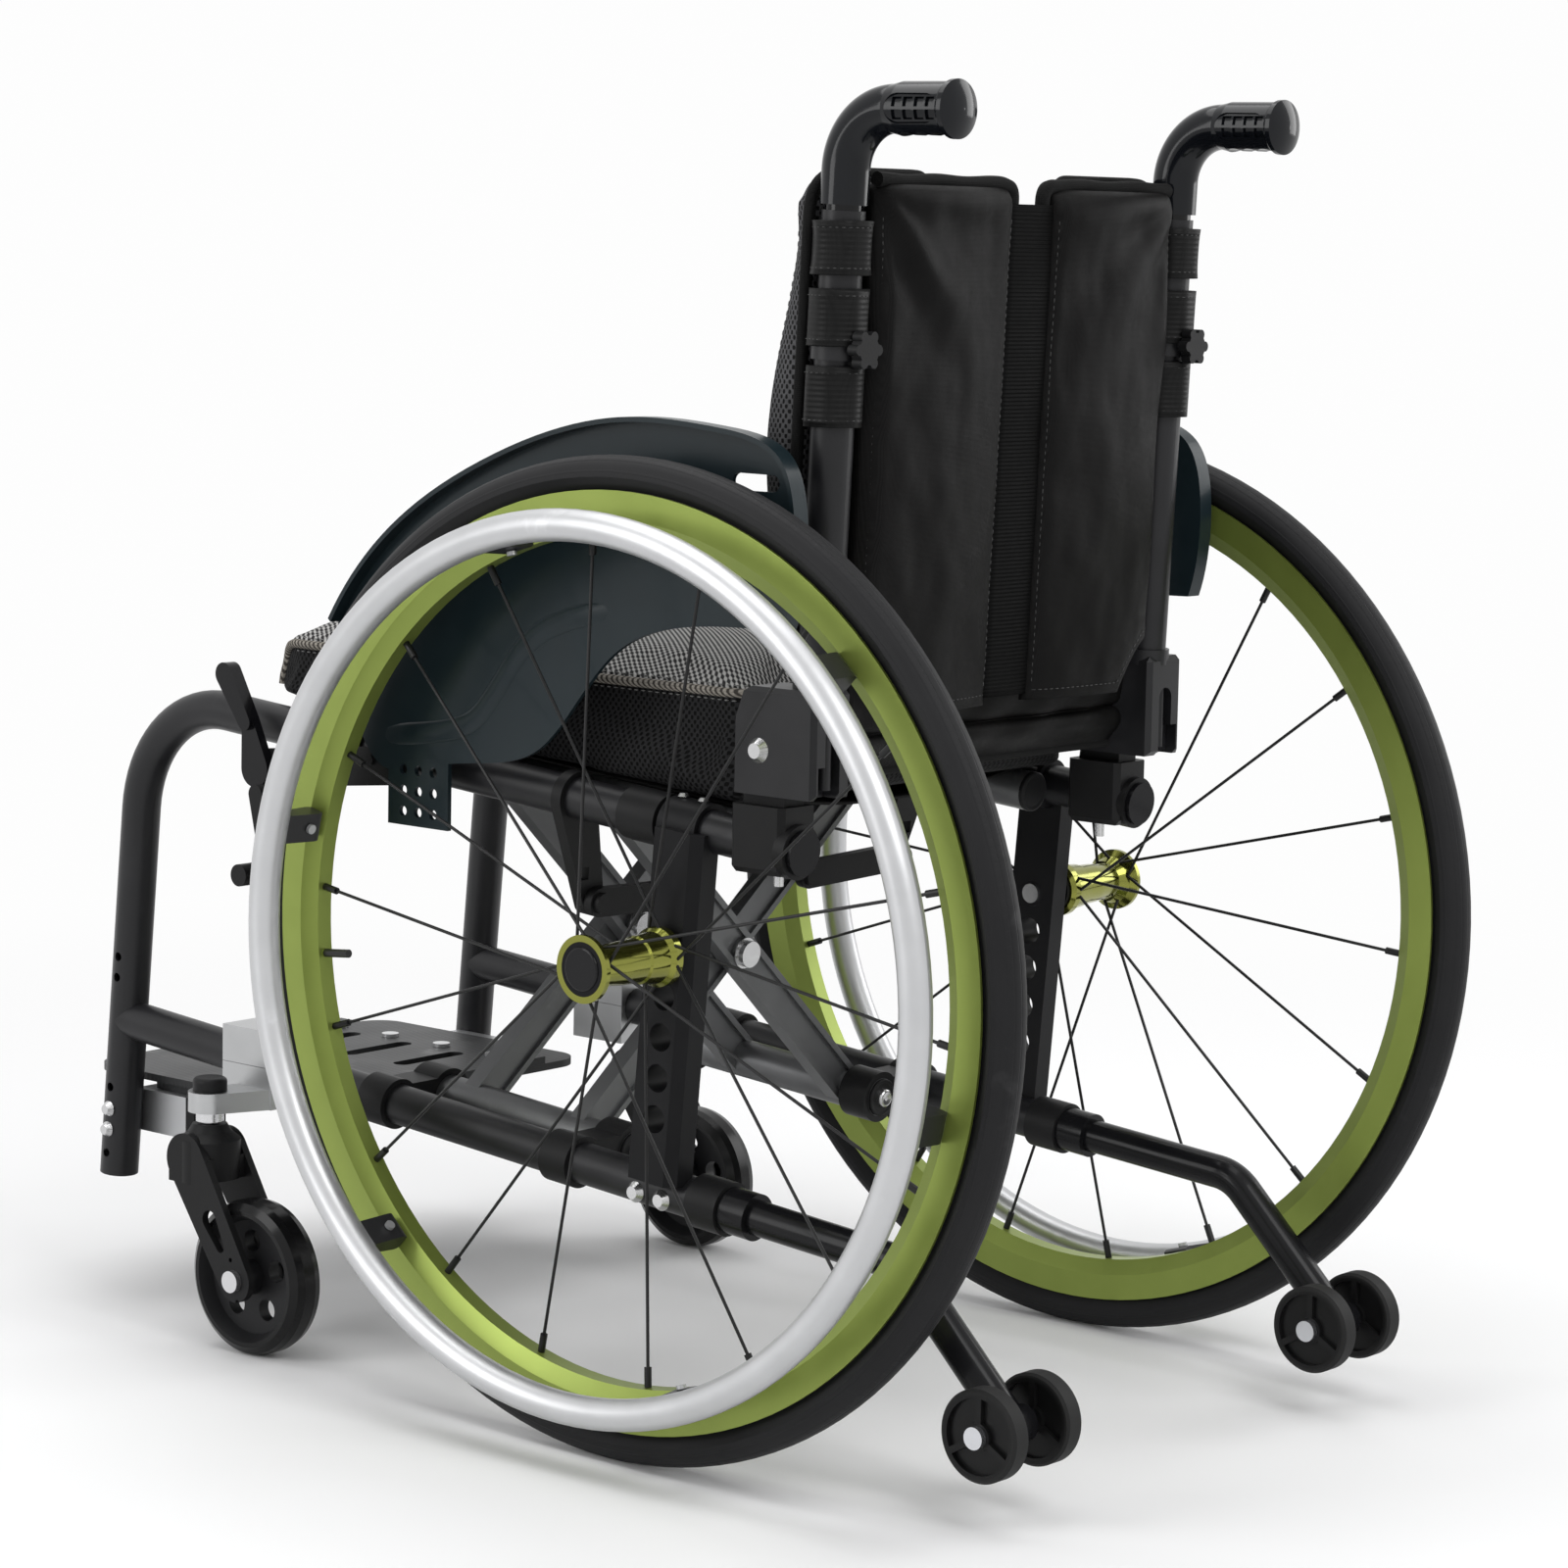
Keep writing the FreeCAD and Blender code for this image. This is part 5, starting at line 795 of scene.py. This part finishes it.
def seat_cushion(cover, piping, thread):
    """Foam cushion: crowned top, drawn-in sides, rounded nose; deeper at the rear as the rails drop."""
    mesh = bmesh.new()
    bmesh.ops.create_cube(mesh, size=1.0)
    length = CUSHION_REAR - CUSHION_FRONT
    bmesh.ops.transform(mesh, matrix=Matrix.Diagonal((2 * CUSHION_HALF, length, 1, 1)), verts=mesh.verts)
    corners = [e for e in mesh.edges if abs((e.verts[0].co - e.verts[1].co).z) > 0.5]
    front = [e for e in corners if e.verts[0].co.y < 0]
    rear = [e for e in corners if e.verts[0].co.y > 0]
    bmesh.ops.bevel(mesh, geom=front, offset=0.045, affect="EDGES", segments=8, profile=0.5, material=-1)
    bmesh.ops.bevel(mesh, geom=rear, offset=0.018, affect="EDGES", segments=5, profile=0.5, material=-1)
    for vertex in mesh.verts:
        vertex.co.y += CUSHION_MIDDLE
        vertex.co.z = cushion_base(vertex.co.y) if vertex.co.z < 0 else CUSHION_SEAM + 0.004
    piece = new_piece("cushion", mesh, cover, "seat")
    remeshed(piece, 0.005)
    for vertex in piece.data.vertices:
        p = vertex.co
        across = 1 - (p.x / CUSHION_HALF) ** 2
        along = (p.y - CUSHION_FRONT) / length
        if p.z > CUSHION_SEAM:
            nose = min(1.0, max(0.0, along / 0.16))
            tail = min(1.0, max(0.0, (1 - along) / 0.10))
            p.z += 0.016 * max(0.0, across) ** 0.6 * math.sin(nose * math.pi / 2) * math.sin(tail * math.pi / 2)
            p.z += 0.0022 * noise.noise(Vector((p.x * 13, p.y * 10, 1.7)))
        near = min(1.0, max(0.0, 1 - along / 0.058))
        p.z = NOSE_HEIGHT + (p.z - NOSE_HEIGHT) * math.sqrt(1 - 0.86 * near ** 2)
    blow_up(piece, 4.0, 0.0055, lambda p: p.z < cushion_base(p.y) + 0.004)
    rounded(piece)
    settled(piece)
    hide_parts("seat_cushion")
    tree = surface_of(piece)

    def on_side(turn, z):
        way = Vector((math.cos(turn) * CUSHION_HALF * 1.2, math.sin(turn) * length * 0.6, 0)).normalized()
        hit = tree.ray_cast(Vector((0, CUSHION_MIDDLE, z)) + way * 0.6, -way)[0]
        return hit and hit + way * 0.0008

    first, last, bend = math.radians(-45.7), math.radians(225.7), 0.075
    drop = [on_side(first, z) for z in (0.4225, 0.4275, 0.4325)]
    drop += [on_side(first + bend * (1 - math.cos(q)), CUSHION_SEAM - 0.014 * (1 - math.sin(q)))
             for q in (math.radians(15 * k) for k in range(6))]
    run = [on_side(first + bend + (last - first - 2 * bend) * k / 110, CUSHION_SEAM) for k in range(111)]
    left = [p for p in drop + run if p]
    right = [Vector((-p.x, p.y, p.z)) for p in reversed([p for p in drop if p])]
    trims = [piece, swept("cushion_piping", left + right, 0.0030, piping, "seat")]
    for height, name in ((-0.0044, "low"), (0.0042, "high")):
        path = [on_side(first + bend + (last - first - 2 * bend) * k / 220, CUSHION_SEAM + height) for k in range(221)]
        trims.append(stitches("cushion_stitches_" + name, [p for p in path if p], 0.0056, 0.0036, 0.0006, thread,
                              "seat"))
    for trim in trims:
        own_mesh(trim)


def seat_sling(cloth):
    """Seat cloth stretched over both rails."""
    mesh = bmesh.new()
    bmesh.ops.create_grid(mesh, x_segments=48, y_segments=40, size=0.5)
    front, rear, half = -0.203, 0.153, SEAT_TUBE_X + TUBE_RADIUS
    for vertex in mesh.verts:
        across, along = vertex.co.x * 2, vertex.co.y + 0.5
        y = front + along * (rear - front)
        x = across * (half + 0.004)
        top = seat_rail_z(y) + TUBE_RADIUS + 0.0022
        inside = max(0.0, 1 - (x / (SEAT_TUBE_X - 0.007)) ** 2)
        wave = 0.0015 * noise.noise(Vector((x * 22, y * 9, 0.3)))
        outside = max(0.0, abs(x) - SEAT_TUBE_X)
        wrap = TUBE_RADIUS - math.sqrt(max(0.0, TUBE_RADIUS ** 2 - min(outside, TUBE_RADIUS * 0.98) ** 2))
        vertex.co = (x * (half / (half + 0.004)), y, top - 0.009 * inside + wave * inside - wrap * 0.25)
    piece = new_piece("seat_cloth", mesh, cloth, "seat")
    thickened(piece, 0.0022)
    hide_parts("seat_sling")
    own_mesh(piece)


# Back

BACK_LOW, BACK_TOP, NOTCH_LOW = 0.480, 0.757, 0.730


def back_front_y(x, z):
    """Front of the backrest pad: a lumbar swell, wings drawn back at the sides."""
    share = (z - BACK_LOW) / (BACK_TOP - BACK_LOW)
    lumbar = 0.013 * math.sin(math.pi * min(1, share * 1.1 + 0.05)) ** 2
    depth = 0.030 * (0.75 + 0.25 * math.sin(math.pi * min(1, max(0, share))))
    side = abs(x) / 0.166
    return post_y(z) - 0.0158 - (depth + lumbar) * (1 - 0.20 * side ** 6)


def back_pad(cover, tape, thread):
    """Padded front of the backrest in spacer mesh, bound round its edge; its top has a wide notch."""
    mesh = bmesh.new()
    for low_x, high_x, top in ((0.063, 0.166, BACK_TOP), (-0.166, -0.063, BACK_TOP), (-0.080, 0.080, NOTCH_LOW)):
        size = Vector((high_x - low_x, 0.02, top - BACK_LOW))
        place = Vector(((low_x + high_x) / 2, 0, (top + BACK_LOW) / 2))
        block = bmesh.ops.create_cube(mesh, size=1.0)["verts"]
        bmesh.ops.transform(mesh, matrix=Matrix.Translation(place) @ Matrix.Diagonal((*size, 1)), verts=block)
    ends = [e for e in mesh.edges if abs(e.verts[0].co.y - e.verts[1].co.y) > 0.01]
    outer = [e for e in ends if abs(e.verts[0].co.x) > 0.1]
    inner = [e for e in ends if abs(e.verts[0].co.x) < 0.07 and e.verts[0].co.z > NOTCH_LOW + 0.001]
    bmesh.ops.bevel(mesh, geom=outer, offset=0.022, affect="EDGES", segments=6, profile=0.5, material=-1)
    bmesh.ops.bevel(mesh, geom=inner, offset=0.010, affect="EDGES", segments=4, profile=0.5, material=-1)
    piece = new_piece("back_pad", mesh, cover, "left_back")
    remeshed(piece, 0.005)
    for vertex in piece.data.vertices:
        p = vertex.co
        step = post_y(p.z) - 0.0165
        front = back_front_y(p.x, p.z) + 0.003
        share = min(1.0, max(0.0, (0.01 - p.y) / 0.02))
        p.y = step + share * (front - step)
    blow_up(piece, 4.0, 0.004, lambda p: p.y > post_y(p.z) - 0.021)
    rounded(piece)
    settled(piece)
    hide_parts("back_upholstery")
    half, low, high = 0.1665, BACK_LOW + 0.001, BACK_TOP - 0.001
    edge = outline(((half, high, 0.024), (0.062, high, 0.012), (0.062, NOTCH_LOW, 0.010), (-0.062, NOTCH_LOW, 0.010),
                    (-0.062, high, 0.012), (-half, high, 0.024), (-half, low, 0.024), (half, low, 0.024)))
    binding = swept("back_pad_binding", [Vector((p.x, post_y(p.y) - 0.0200, p.y)) for p in edge], 0.0038, tape,
                    "left_back", closed=True)
    tree = surface_of(piece)
    half, low, high = half - 0.0080, low + 0.0080, high - 0.0085
    row = []
    for p in outline(((half, high, 0.018), (0.071, high, 0.008), (0.068, NOTCH_LOW - 0.009, 0.014),
                      (-0.068, NOTCH_LOW - 0.009, 0.014), (-0.071, high, 0.008), (-half, high, 0.018),
                      (-half, low, 0.018), (half, low, 0.018)), 0.004):
        hit = tree.ray_cast(Vector((p.x, -0.1, p.y)), Vector((0, 1, 0)))[0]
        if hit:
            row.append(hit - Vector((0, 0.0003, 0)))
    sewn = stitches("back_pad_stitches", row, 0.0058, 0.0038, 0.0006, thread, "left_back")
    for trim in (piece, binding, sewn):
        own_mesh(trim)


def wrinkles(x, z, side):
    """Shallow folds that fan out from the upper outer corner, and slack lower down."""
    reach = math.hypot(0.147 - abs(x), 0.750 - z)
    fan = math.atan2(0.750 - z, 0.147 - abs(x) + 0.001)
    bent = 1.6 * noise.noise(Vector((reach * 16, fan * 2, side * 2.0)))
    folds = math.sin(fan * 9.0 + 0.7 + bent) * math.exp(-((reach - 0.070) / 0.050) ** 2)
    slack = 0.6 * noise.noise(Vector((x * 15, z * 8, side * 3.1))) + 0.4 * noise.noise(Vector((x * 34, z * 22, side)))
    fine = noise.noise(Vector((x * 75, z * 48, side * 5.0)))
    return 0.0027 * folds + 0.0040 * slack + 0.0006 * fine


def rear_panel(name, side, cloth, tape, thread):
    """Cloth panel behind one half of the backrest, puckered at its upper corner, with a bound top."""
    inner, outer, low, top = 0.0195, 0.1445, 0.442, 0.7495
    mesh = bmesh.new()
    bmesh.ops.create_grid(mesh, x_segments=44, y_segments=100, size=0.5)

    def surface(u, v):
        x = side * (inner + u * (outer - inner))
        cut = min(1.0, max(0.0, (u - 0.66) / 0.34))
        foot = low + 0.034 * cut * (2 - cut)
        z = foot + v * (top - foot)
        swell = 0.009 * math.sin(math.pi * min(1.0, max(0.0, u))) ** 0.7
        hold = max(0.0, min(1.0, u / 0.08, (1 - u) / 0.08, (1 - v) / 0.05, v / 0.04))
        roll = -0.010 * max(0.0, (u - 0.90) / 0.10) ** 2 - 0.004 * max(0.0, (0.06 - u) / 0.06) ** 2
        tuck = -0.005 * max(0.0, (v - 0.97) / 0.03) ** 2
        return Vector((x, post_y(z) + 0.0125 + swell + roll + tuck + wrinkles(x, z, side) * hold, z))

    for vertex in mesh.verts:
        vertex.co = surface(vertex.co.x + 0.5, vertex.co.y + 0.5)
    piece = new_piece("rear_panel_" + name, mesh, cloth, "left_back")
    thickened(piece, 0.0024)
    band = [(0.0150, 0.7380), (0.0150, 0.7420), (0.0152, 0.7465), (0.0172, 0.7502), (0.0215, 0.7518)]
    band += [(0.0280 + 0.0113 * k, 0.7522 + 0.0006 * math.sin(k * 1.3 + side)) for k in range(11)]
    rim = [Vector((side * x, post_y(z) + 0.0075, z)) for x, z in band]
    trims = [piece, swept("rear_panel_binding_" + name, rim, 0.0047, tape, "left_back")]
    for at, label in ((0.030, "inner"), (0.955, "outer")):
        line = [surface(at, v / 60) + Vector((0, 0.0013, 0)) for v in range(2, 58)]
        trims.append(stitches("rear_panel_stitches_%s_%s" % (name, label), line, 0.0046, 0.0032, 0.0004, thread,
                              "left_back"))
    line = [surface(u / 40, 0.020) + Vector((0, 0.0013, 0)) for u in range(1, 40)]
    trims.append(stitches("rear_panel_stitches_%s_foot" % name, line, 0.0046, 0.0032, 0.0004, thread, "left_back"))
    for trim in trims:
        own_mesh(trim)


def middle_webbing(webbing):
    """Ribbed strap down the gap between the two rear panels."""
    mesh = bmesh.new()
    bmesh.ops.create_grid(mesh, x_segments=6, y_segments=60, size=0.5)
    for vertex in mesh.verts:
        z = 0.446 + (vertex.co.y + 0.5) * (0.741 - 0.446)
        bow = 0.0012 * math.cos(math.pi * vertex.co.x)
        vertex.co = (vertex.co.x * 0.046, post_y(z) + 0.0112 + bow + 0.0008 * noise.noise(Vector((0, z * 14, 2))), z)
    piece = new_piece("middle_webbing", mesh, webbing, "left_back")
    thickened(piece, 0.0018)
    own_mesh(piece)


def skirt(cloth, tape):
    """Lower flap of the backrest, tucked forward under the cushion's rear, with a sewn tuck and slack folds."""
    mesh = bmesh.new()
    bmesh.ops.create_grid(mesh, x_segments=60, y_segments=44, size=0.5)

    def surface(u, v):
        x = (u - 0.5) * 2 * 0.137
        z = 0.404 + v * 0.072
        y = 0.209 + 0.014 * math.sin(v * math.pi / 2) + 0.006 * math.sin(math.pi * v) ** 2
        tuck = 0.006 * math.exp(-((z - 0.429) / 0.0022) ** 2)
        roll = 0.004 * math.exp(-((z - 0.419) / 0.007) ** 2)
        folds = 0.0014 * math.sin(x * 120 + 2.2 * math.sin(z * 60)) * math.sin(math.pi * v)
        slack = 0.004 * noise.noise(Vector((x * 11, z * 30, 5.0)))
        return Vector((x, y - tuck + roll + folds + slack, z))

    for vertex in mesh.verts:
        vertex.co = surface(vertex.co.x + 0.5, vertex.co.y + 0.5)
    piece = new_piece("back_skirt", mesh, cloth, "left_back")
    thickened(piece, 0.0026)
    edge = [surface(u / 40, 0.01) for u in range(41)]
    hem = swept("back_skirt_binding", edge, 0.003, tape, "left_back")
    for trim in (piece, hem):
        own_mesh(trim)


def post_straps(cloth, thread):
    """Straps that hold the backrest to each post: a band round the post, sewn along both edges."""
    radius = TUBE_RADIUS + 0.0012
    for name, side in SIDES:
        for number, (height, wide) in enumerate(((0.629, 0.0175), (0.674, 0.0165), (0.7135, 0.0155))):
            mesh = bmesh.new()
            bmesh.ops.create_circle(mesh, cap_ends=False, radius=radius + 0.001, segments=48)
            grown = bmesh.ops.extrude_edge_only(mesh, edges=mesh.edges[:])
            lifted = [v for v in grown["geom"] if isinstance(v, bmesh.types.BMVert)]
            bmesh.ops.translate(mesh, vec=Vector((0, 0, 2 * wide)), verts=lifted)
            upright = [e for e in mesh.edges if abs(e.verts[0].co.z - e.verts[1].co.z) > wide]
            bmesh.ops.subdivide_edges(mesh, edges=upright, cuts=7, use_grid_fill=True)
            for vertex in mesh.verts:
                z = height - wide + vertex.co.z
                turn = math.atan2(vertex.co.y, vertex.co.x)
                edge = abs(vertex.co.z / wide - 1)
                flare = 1 + 0.05 * math.sin(turn * 3 + number) ** 2
                flare += 0.05 * edge ** 3 * (1 + math.sin(turn * 2 + number))
                vertex.co = (side * POST_X + vertex.co.x * flare, post_y(z) + vertex.co.y * flare, z)
            piece = new_piece("post_strap_%s_%d" % (name, number + 1), mesh, cloth, name + "_back")
            thickened(piece, 0.0017, offset=1.0)
            for shift, label in ((0.004 - wide, "low"), (wide - 0.004, "high")):
                z = height + shift
                arc = []
                for turn in (math.radians(-70 + step * 8) for step in range(25)):
                    reach = (radius + 0.0030) * (1 + 0.05 * math.sin(turn * 3 + number) ** 2)
                    arc.append(Vector((side * POST_X + reach * math.cos(turn), post_y(z) + reach * math.sin(turn), z)))
                stitches("post_strap_stitches_%s_%d_%s" % (name, number + 1, label), arc, 0.004, 0.0026, 0.0004,
                         thread, name + "_back")


# Frame

def end_plug(name, place, out, size, finish, body):
    """Round plug or bolt head on the end of a sloping tube; size is (radius, depth, rim)."""
    radius, depth, rim = size
    slope = math.atan(TUBE_SLOPE)
    mesh = bmesh.new()
    bmesh.ops.create_cone(mesh, cap_ends=True, segments=48, radius1=radius, radius2=radius, depth=depth)
    face = max(mesh.faces, key=lambda f: f.calc_center_median().z)
    bmesh.ops.bevel(mesh, geom=list(face.edges), offset=depth * 0.4, affect="EDGES", segments=3, profile=0.5,
                    material=-1)
    face = max(mesh.faces, key=lambda f: f.calc_center_median().z)
    bmesh.ops.inset_individual(mesh, faces=[face], thickness=rim, depth=-depth * 0.15)
    turn = Matrix.Rotation(-out * math.pi / 2 - slope, 4, "X")
    along = Vector((0, math.cos(slope), -math.sin(slope))) * out
    shift = Matrix.Translation(place + along * (depth / 2 + 0.0002))
    bmesh.ops.transform(mesh, matrix=shift @ turn, verts=mesh.verts)
    new_piece(name, mesh, finish, body, smooth=False)


def tube_ends(moulded, steel):
    """Moulded plugs in the seat tubes, and a plug with a bolt in each end of the lower pivot tubes."""
    for name, side in (("right", 1), ("left", -1)):
        body = name + "_brace"
        for end, y, out in (("rear", 0.1578, 1), ("front", -0.2060, -1)):
            place = Vector((side * SEAT_TUBE_X, y, seat_rail_z(y)))
            end_plug("seat_tube_plug_%s_%s" % (name, end), place, out, (TUBE_RADIUS + 0.0002, 0.0030, 0.0022), moulded,
                     body)
        for end, y, out in (("rear", 0.0473, 1), ("front", -0.1341, -1)):
            place = Vector((-side * PIVOT_TUBE_X, y, 0.1549 - (y - 0.0473) * TUBE_SLOPE))
            end_plug("pivot_tube_plug_%s_%s" % (name, end), place, out, (0.0124, 0.0020, 0.0020), moulded, body)
            end_plug("pivot_bolt_%s_%s" % (name, end), place + Vector((0, 0.0015 * out, 0)), out,
                     (0.0060, 0.0040, 0.0028), steel, body)


# Side guards

def guard_ridge(name, side, finish):
    """Low pressed ridge that runs down and forward across the outside of the guard."""
    tree = surface_of(nodes[name + "_side_guard"])
    path = []
    for y, z in ((-0.108, 0.4045), (-0.086, 0.4080), (-0.0657, 0.4104), (-0.0480, 0.4130), (-0.0330, 0.4165),
                 (-0.0194, 0.4224), (-0.0072, 0.4354), (0.0050, 0.4513), (0.0170, 0.4671), (0.0291, 0.4769),
                 (0.0411, 0.4837), (0.0611, 0.4911), (0.0809, 0.4955), (0.1000, 0.4975)):
        hit = tree.ray_cast(Vector((side * 0.24, y, z)), Vector((-side, 0, 0)))[0]
        if hit and abs(hit.x) < 0.197:
            path.append(Vector((side * 0.19375, y, z)))
    piece = swept("guard_ridge_" + name, path, 0.0080, finish, name + "_frame")
    for vertex in piece.data.vertices:
        ends = min((vertex.co - path[0]).length, (vertex.co - path[-1]).length)
        vertex.co.x = side * (0.19345 + (abs(vertex.co.x) - 0.19375) * 0.30 * min(1.0, ends / 0.03))


# Surroundings

# Strength of the background where it is seen
WHITE = 0.985


def seen_rays(tree):
    """1 for rays that see the background: from the camera, a reflection or a clear body."""
    path = put(tree, "ShaderNodeLightPath").outputs
    return maths(tree, "MAXIMUM", maths(tree, "MAXIMUM", path["Is Camera Ray"], path["Is Glossy Ray"]),
                 path["Is Transmission Ray"])


def studio():
    floor = bpy.data.meshes.new("floor")
    mesh = bmesh.new()
    bmesh.ops.create_grid(mesh, x_segments=1, y_segments=1, size=9.0)
    mesh.to_mesh(floor)
    mesh.free()
    ground = bpy.data.objects.new("floor", floor)
    scene.collection.objects.link(ground)
    made = Finish("pale floor", roughness=0.62, specular=0.2)
    tree = made.tree
    far = put(tree, "ShaderNodeVectorMath", {0: made.place}, operation="LENGTH").outputs["Value"]
    fade = ramp(tree, far, 0.35, 1.9)
    made.set("Base Color", (0.94, 0.94, 0.945))
    glow = put(tree, "ShaderNodeEmission", {"Color": (1, 1, 1), "Strength": WHITE})
    mix = put(tree, "ShaderNodeMixShader", {0: times(tree, fade, seen_rays(tree)),
                                            1: made.shader.outputs[0], 2: glow.outputs[0]})
    tree.links.new(mix.outputs[0], tree.nodes["Material Output"].inputs["Surface"])
    floor.materials.append(made.material)
    world = bpy.data.worlds.new("studio")
    scene.world = world
    world.use_nodes = True
    tree = world.node_tree
    strength = maths(tree, "MULTIPLY_ADD", seen_rays(tree), WHITE - 0.42, 0.42)
    back = tree.nodes["Background"]
    back.inputs["Color"].default_value = (1, 1, 1, 1)
    tree.links.new(strength, back.inputs["Strength"])
    for name, at, aim, size, power in (
            ("key", (0.6, 2.6, 2.6), (0, 0, 0.4), (1.6, 1.6), 42.0),
            ("side", (2.8, -1.2, 1.5), (0, 0, 0.35), (1.4, 2.0), 34.0),
            ("top", (0.0, -0.4, 3.0), (0, 0.1, 0.3), (2.4, 2.4), 40.0),
            ("far", (-2.6, 1.2, 1.4), (0, 0, 0.4), (1.2, 1.8), 22.0)):
        lamp = bpy.data.lights.new(name, "AREA")
        lamp.shape, lamp.size, lamp.size_y, lamp.energy = "RECTANGLE", size[0], size[1], power
        holder = bpy.data.objects.new(name, lamp)
        scene.collection.objects.link(holder)
        holder.location = at
        holder.rotation_euler = (Vector(aim) - Vector(at)).to_track_quat("-Z", "Y").to_euler()
    scene.view_settings.view_transform = "Standard"


place_camera()
guard, moulded, steel = guard_teal(), cast_black(), bright_steel()
dress_frame(guard, moulded, steel)
nylon, tape, webbing, strap = nylon_black(), binding_black(), webbing_black(), strap_black()
grey_thread = sewing_thread("grey sewing thread", 0.7, 1, (0.10, 0.10, 0.10), (0.26, 0.26, 0.25))
dark_thread = sewing_thread("black sewing thread", 0.6, 0, (0.012, 0.012, 0.012), (0.04, 0.04, 0.04))
seat_cushion(cushion_cover(), piping_beige(), grey_thread)
seat_sling(nylon)
back_pad(back_mesh(), tape, grey_thread)
for name, side in SIDES:
    rear_panel(name, side, nylon, tape, dark_thread)
    guard_ridge(name, side, guard)
tube_ends(moulded, steel)
middle_webbing(webbing)
skirt(nylon, tape)
post_straps(strap, dark_thread)
studio()
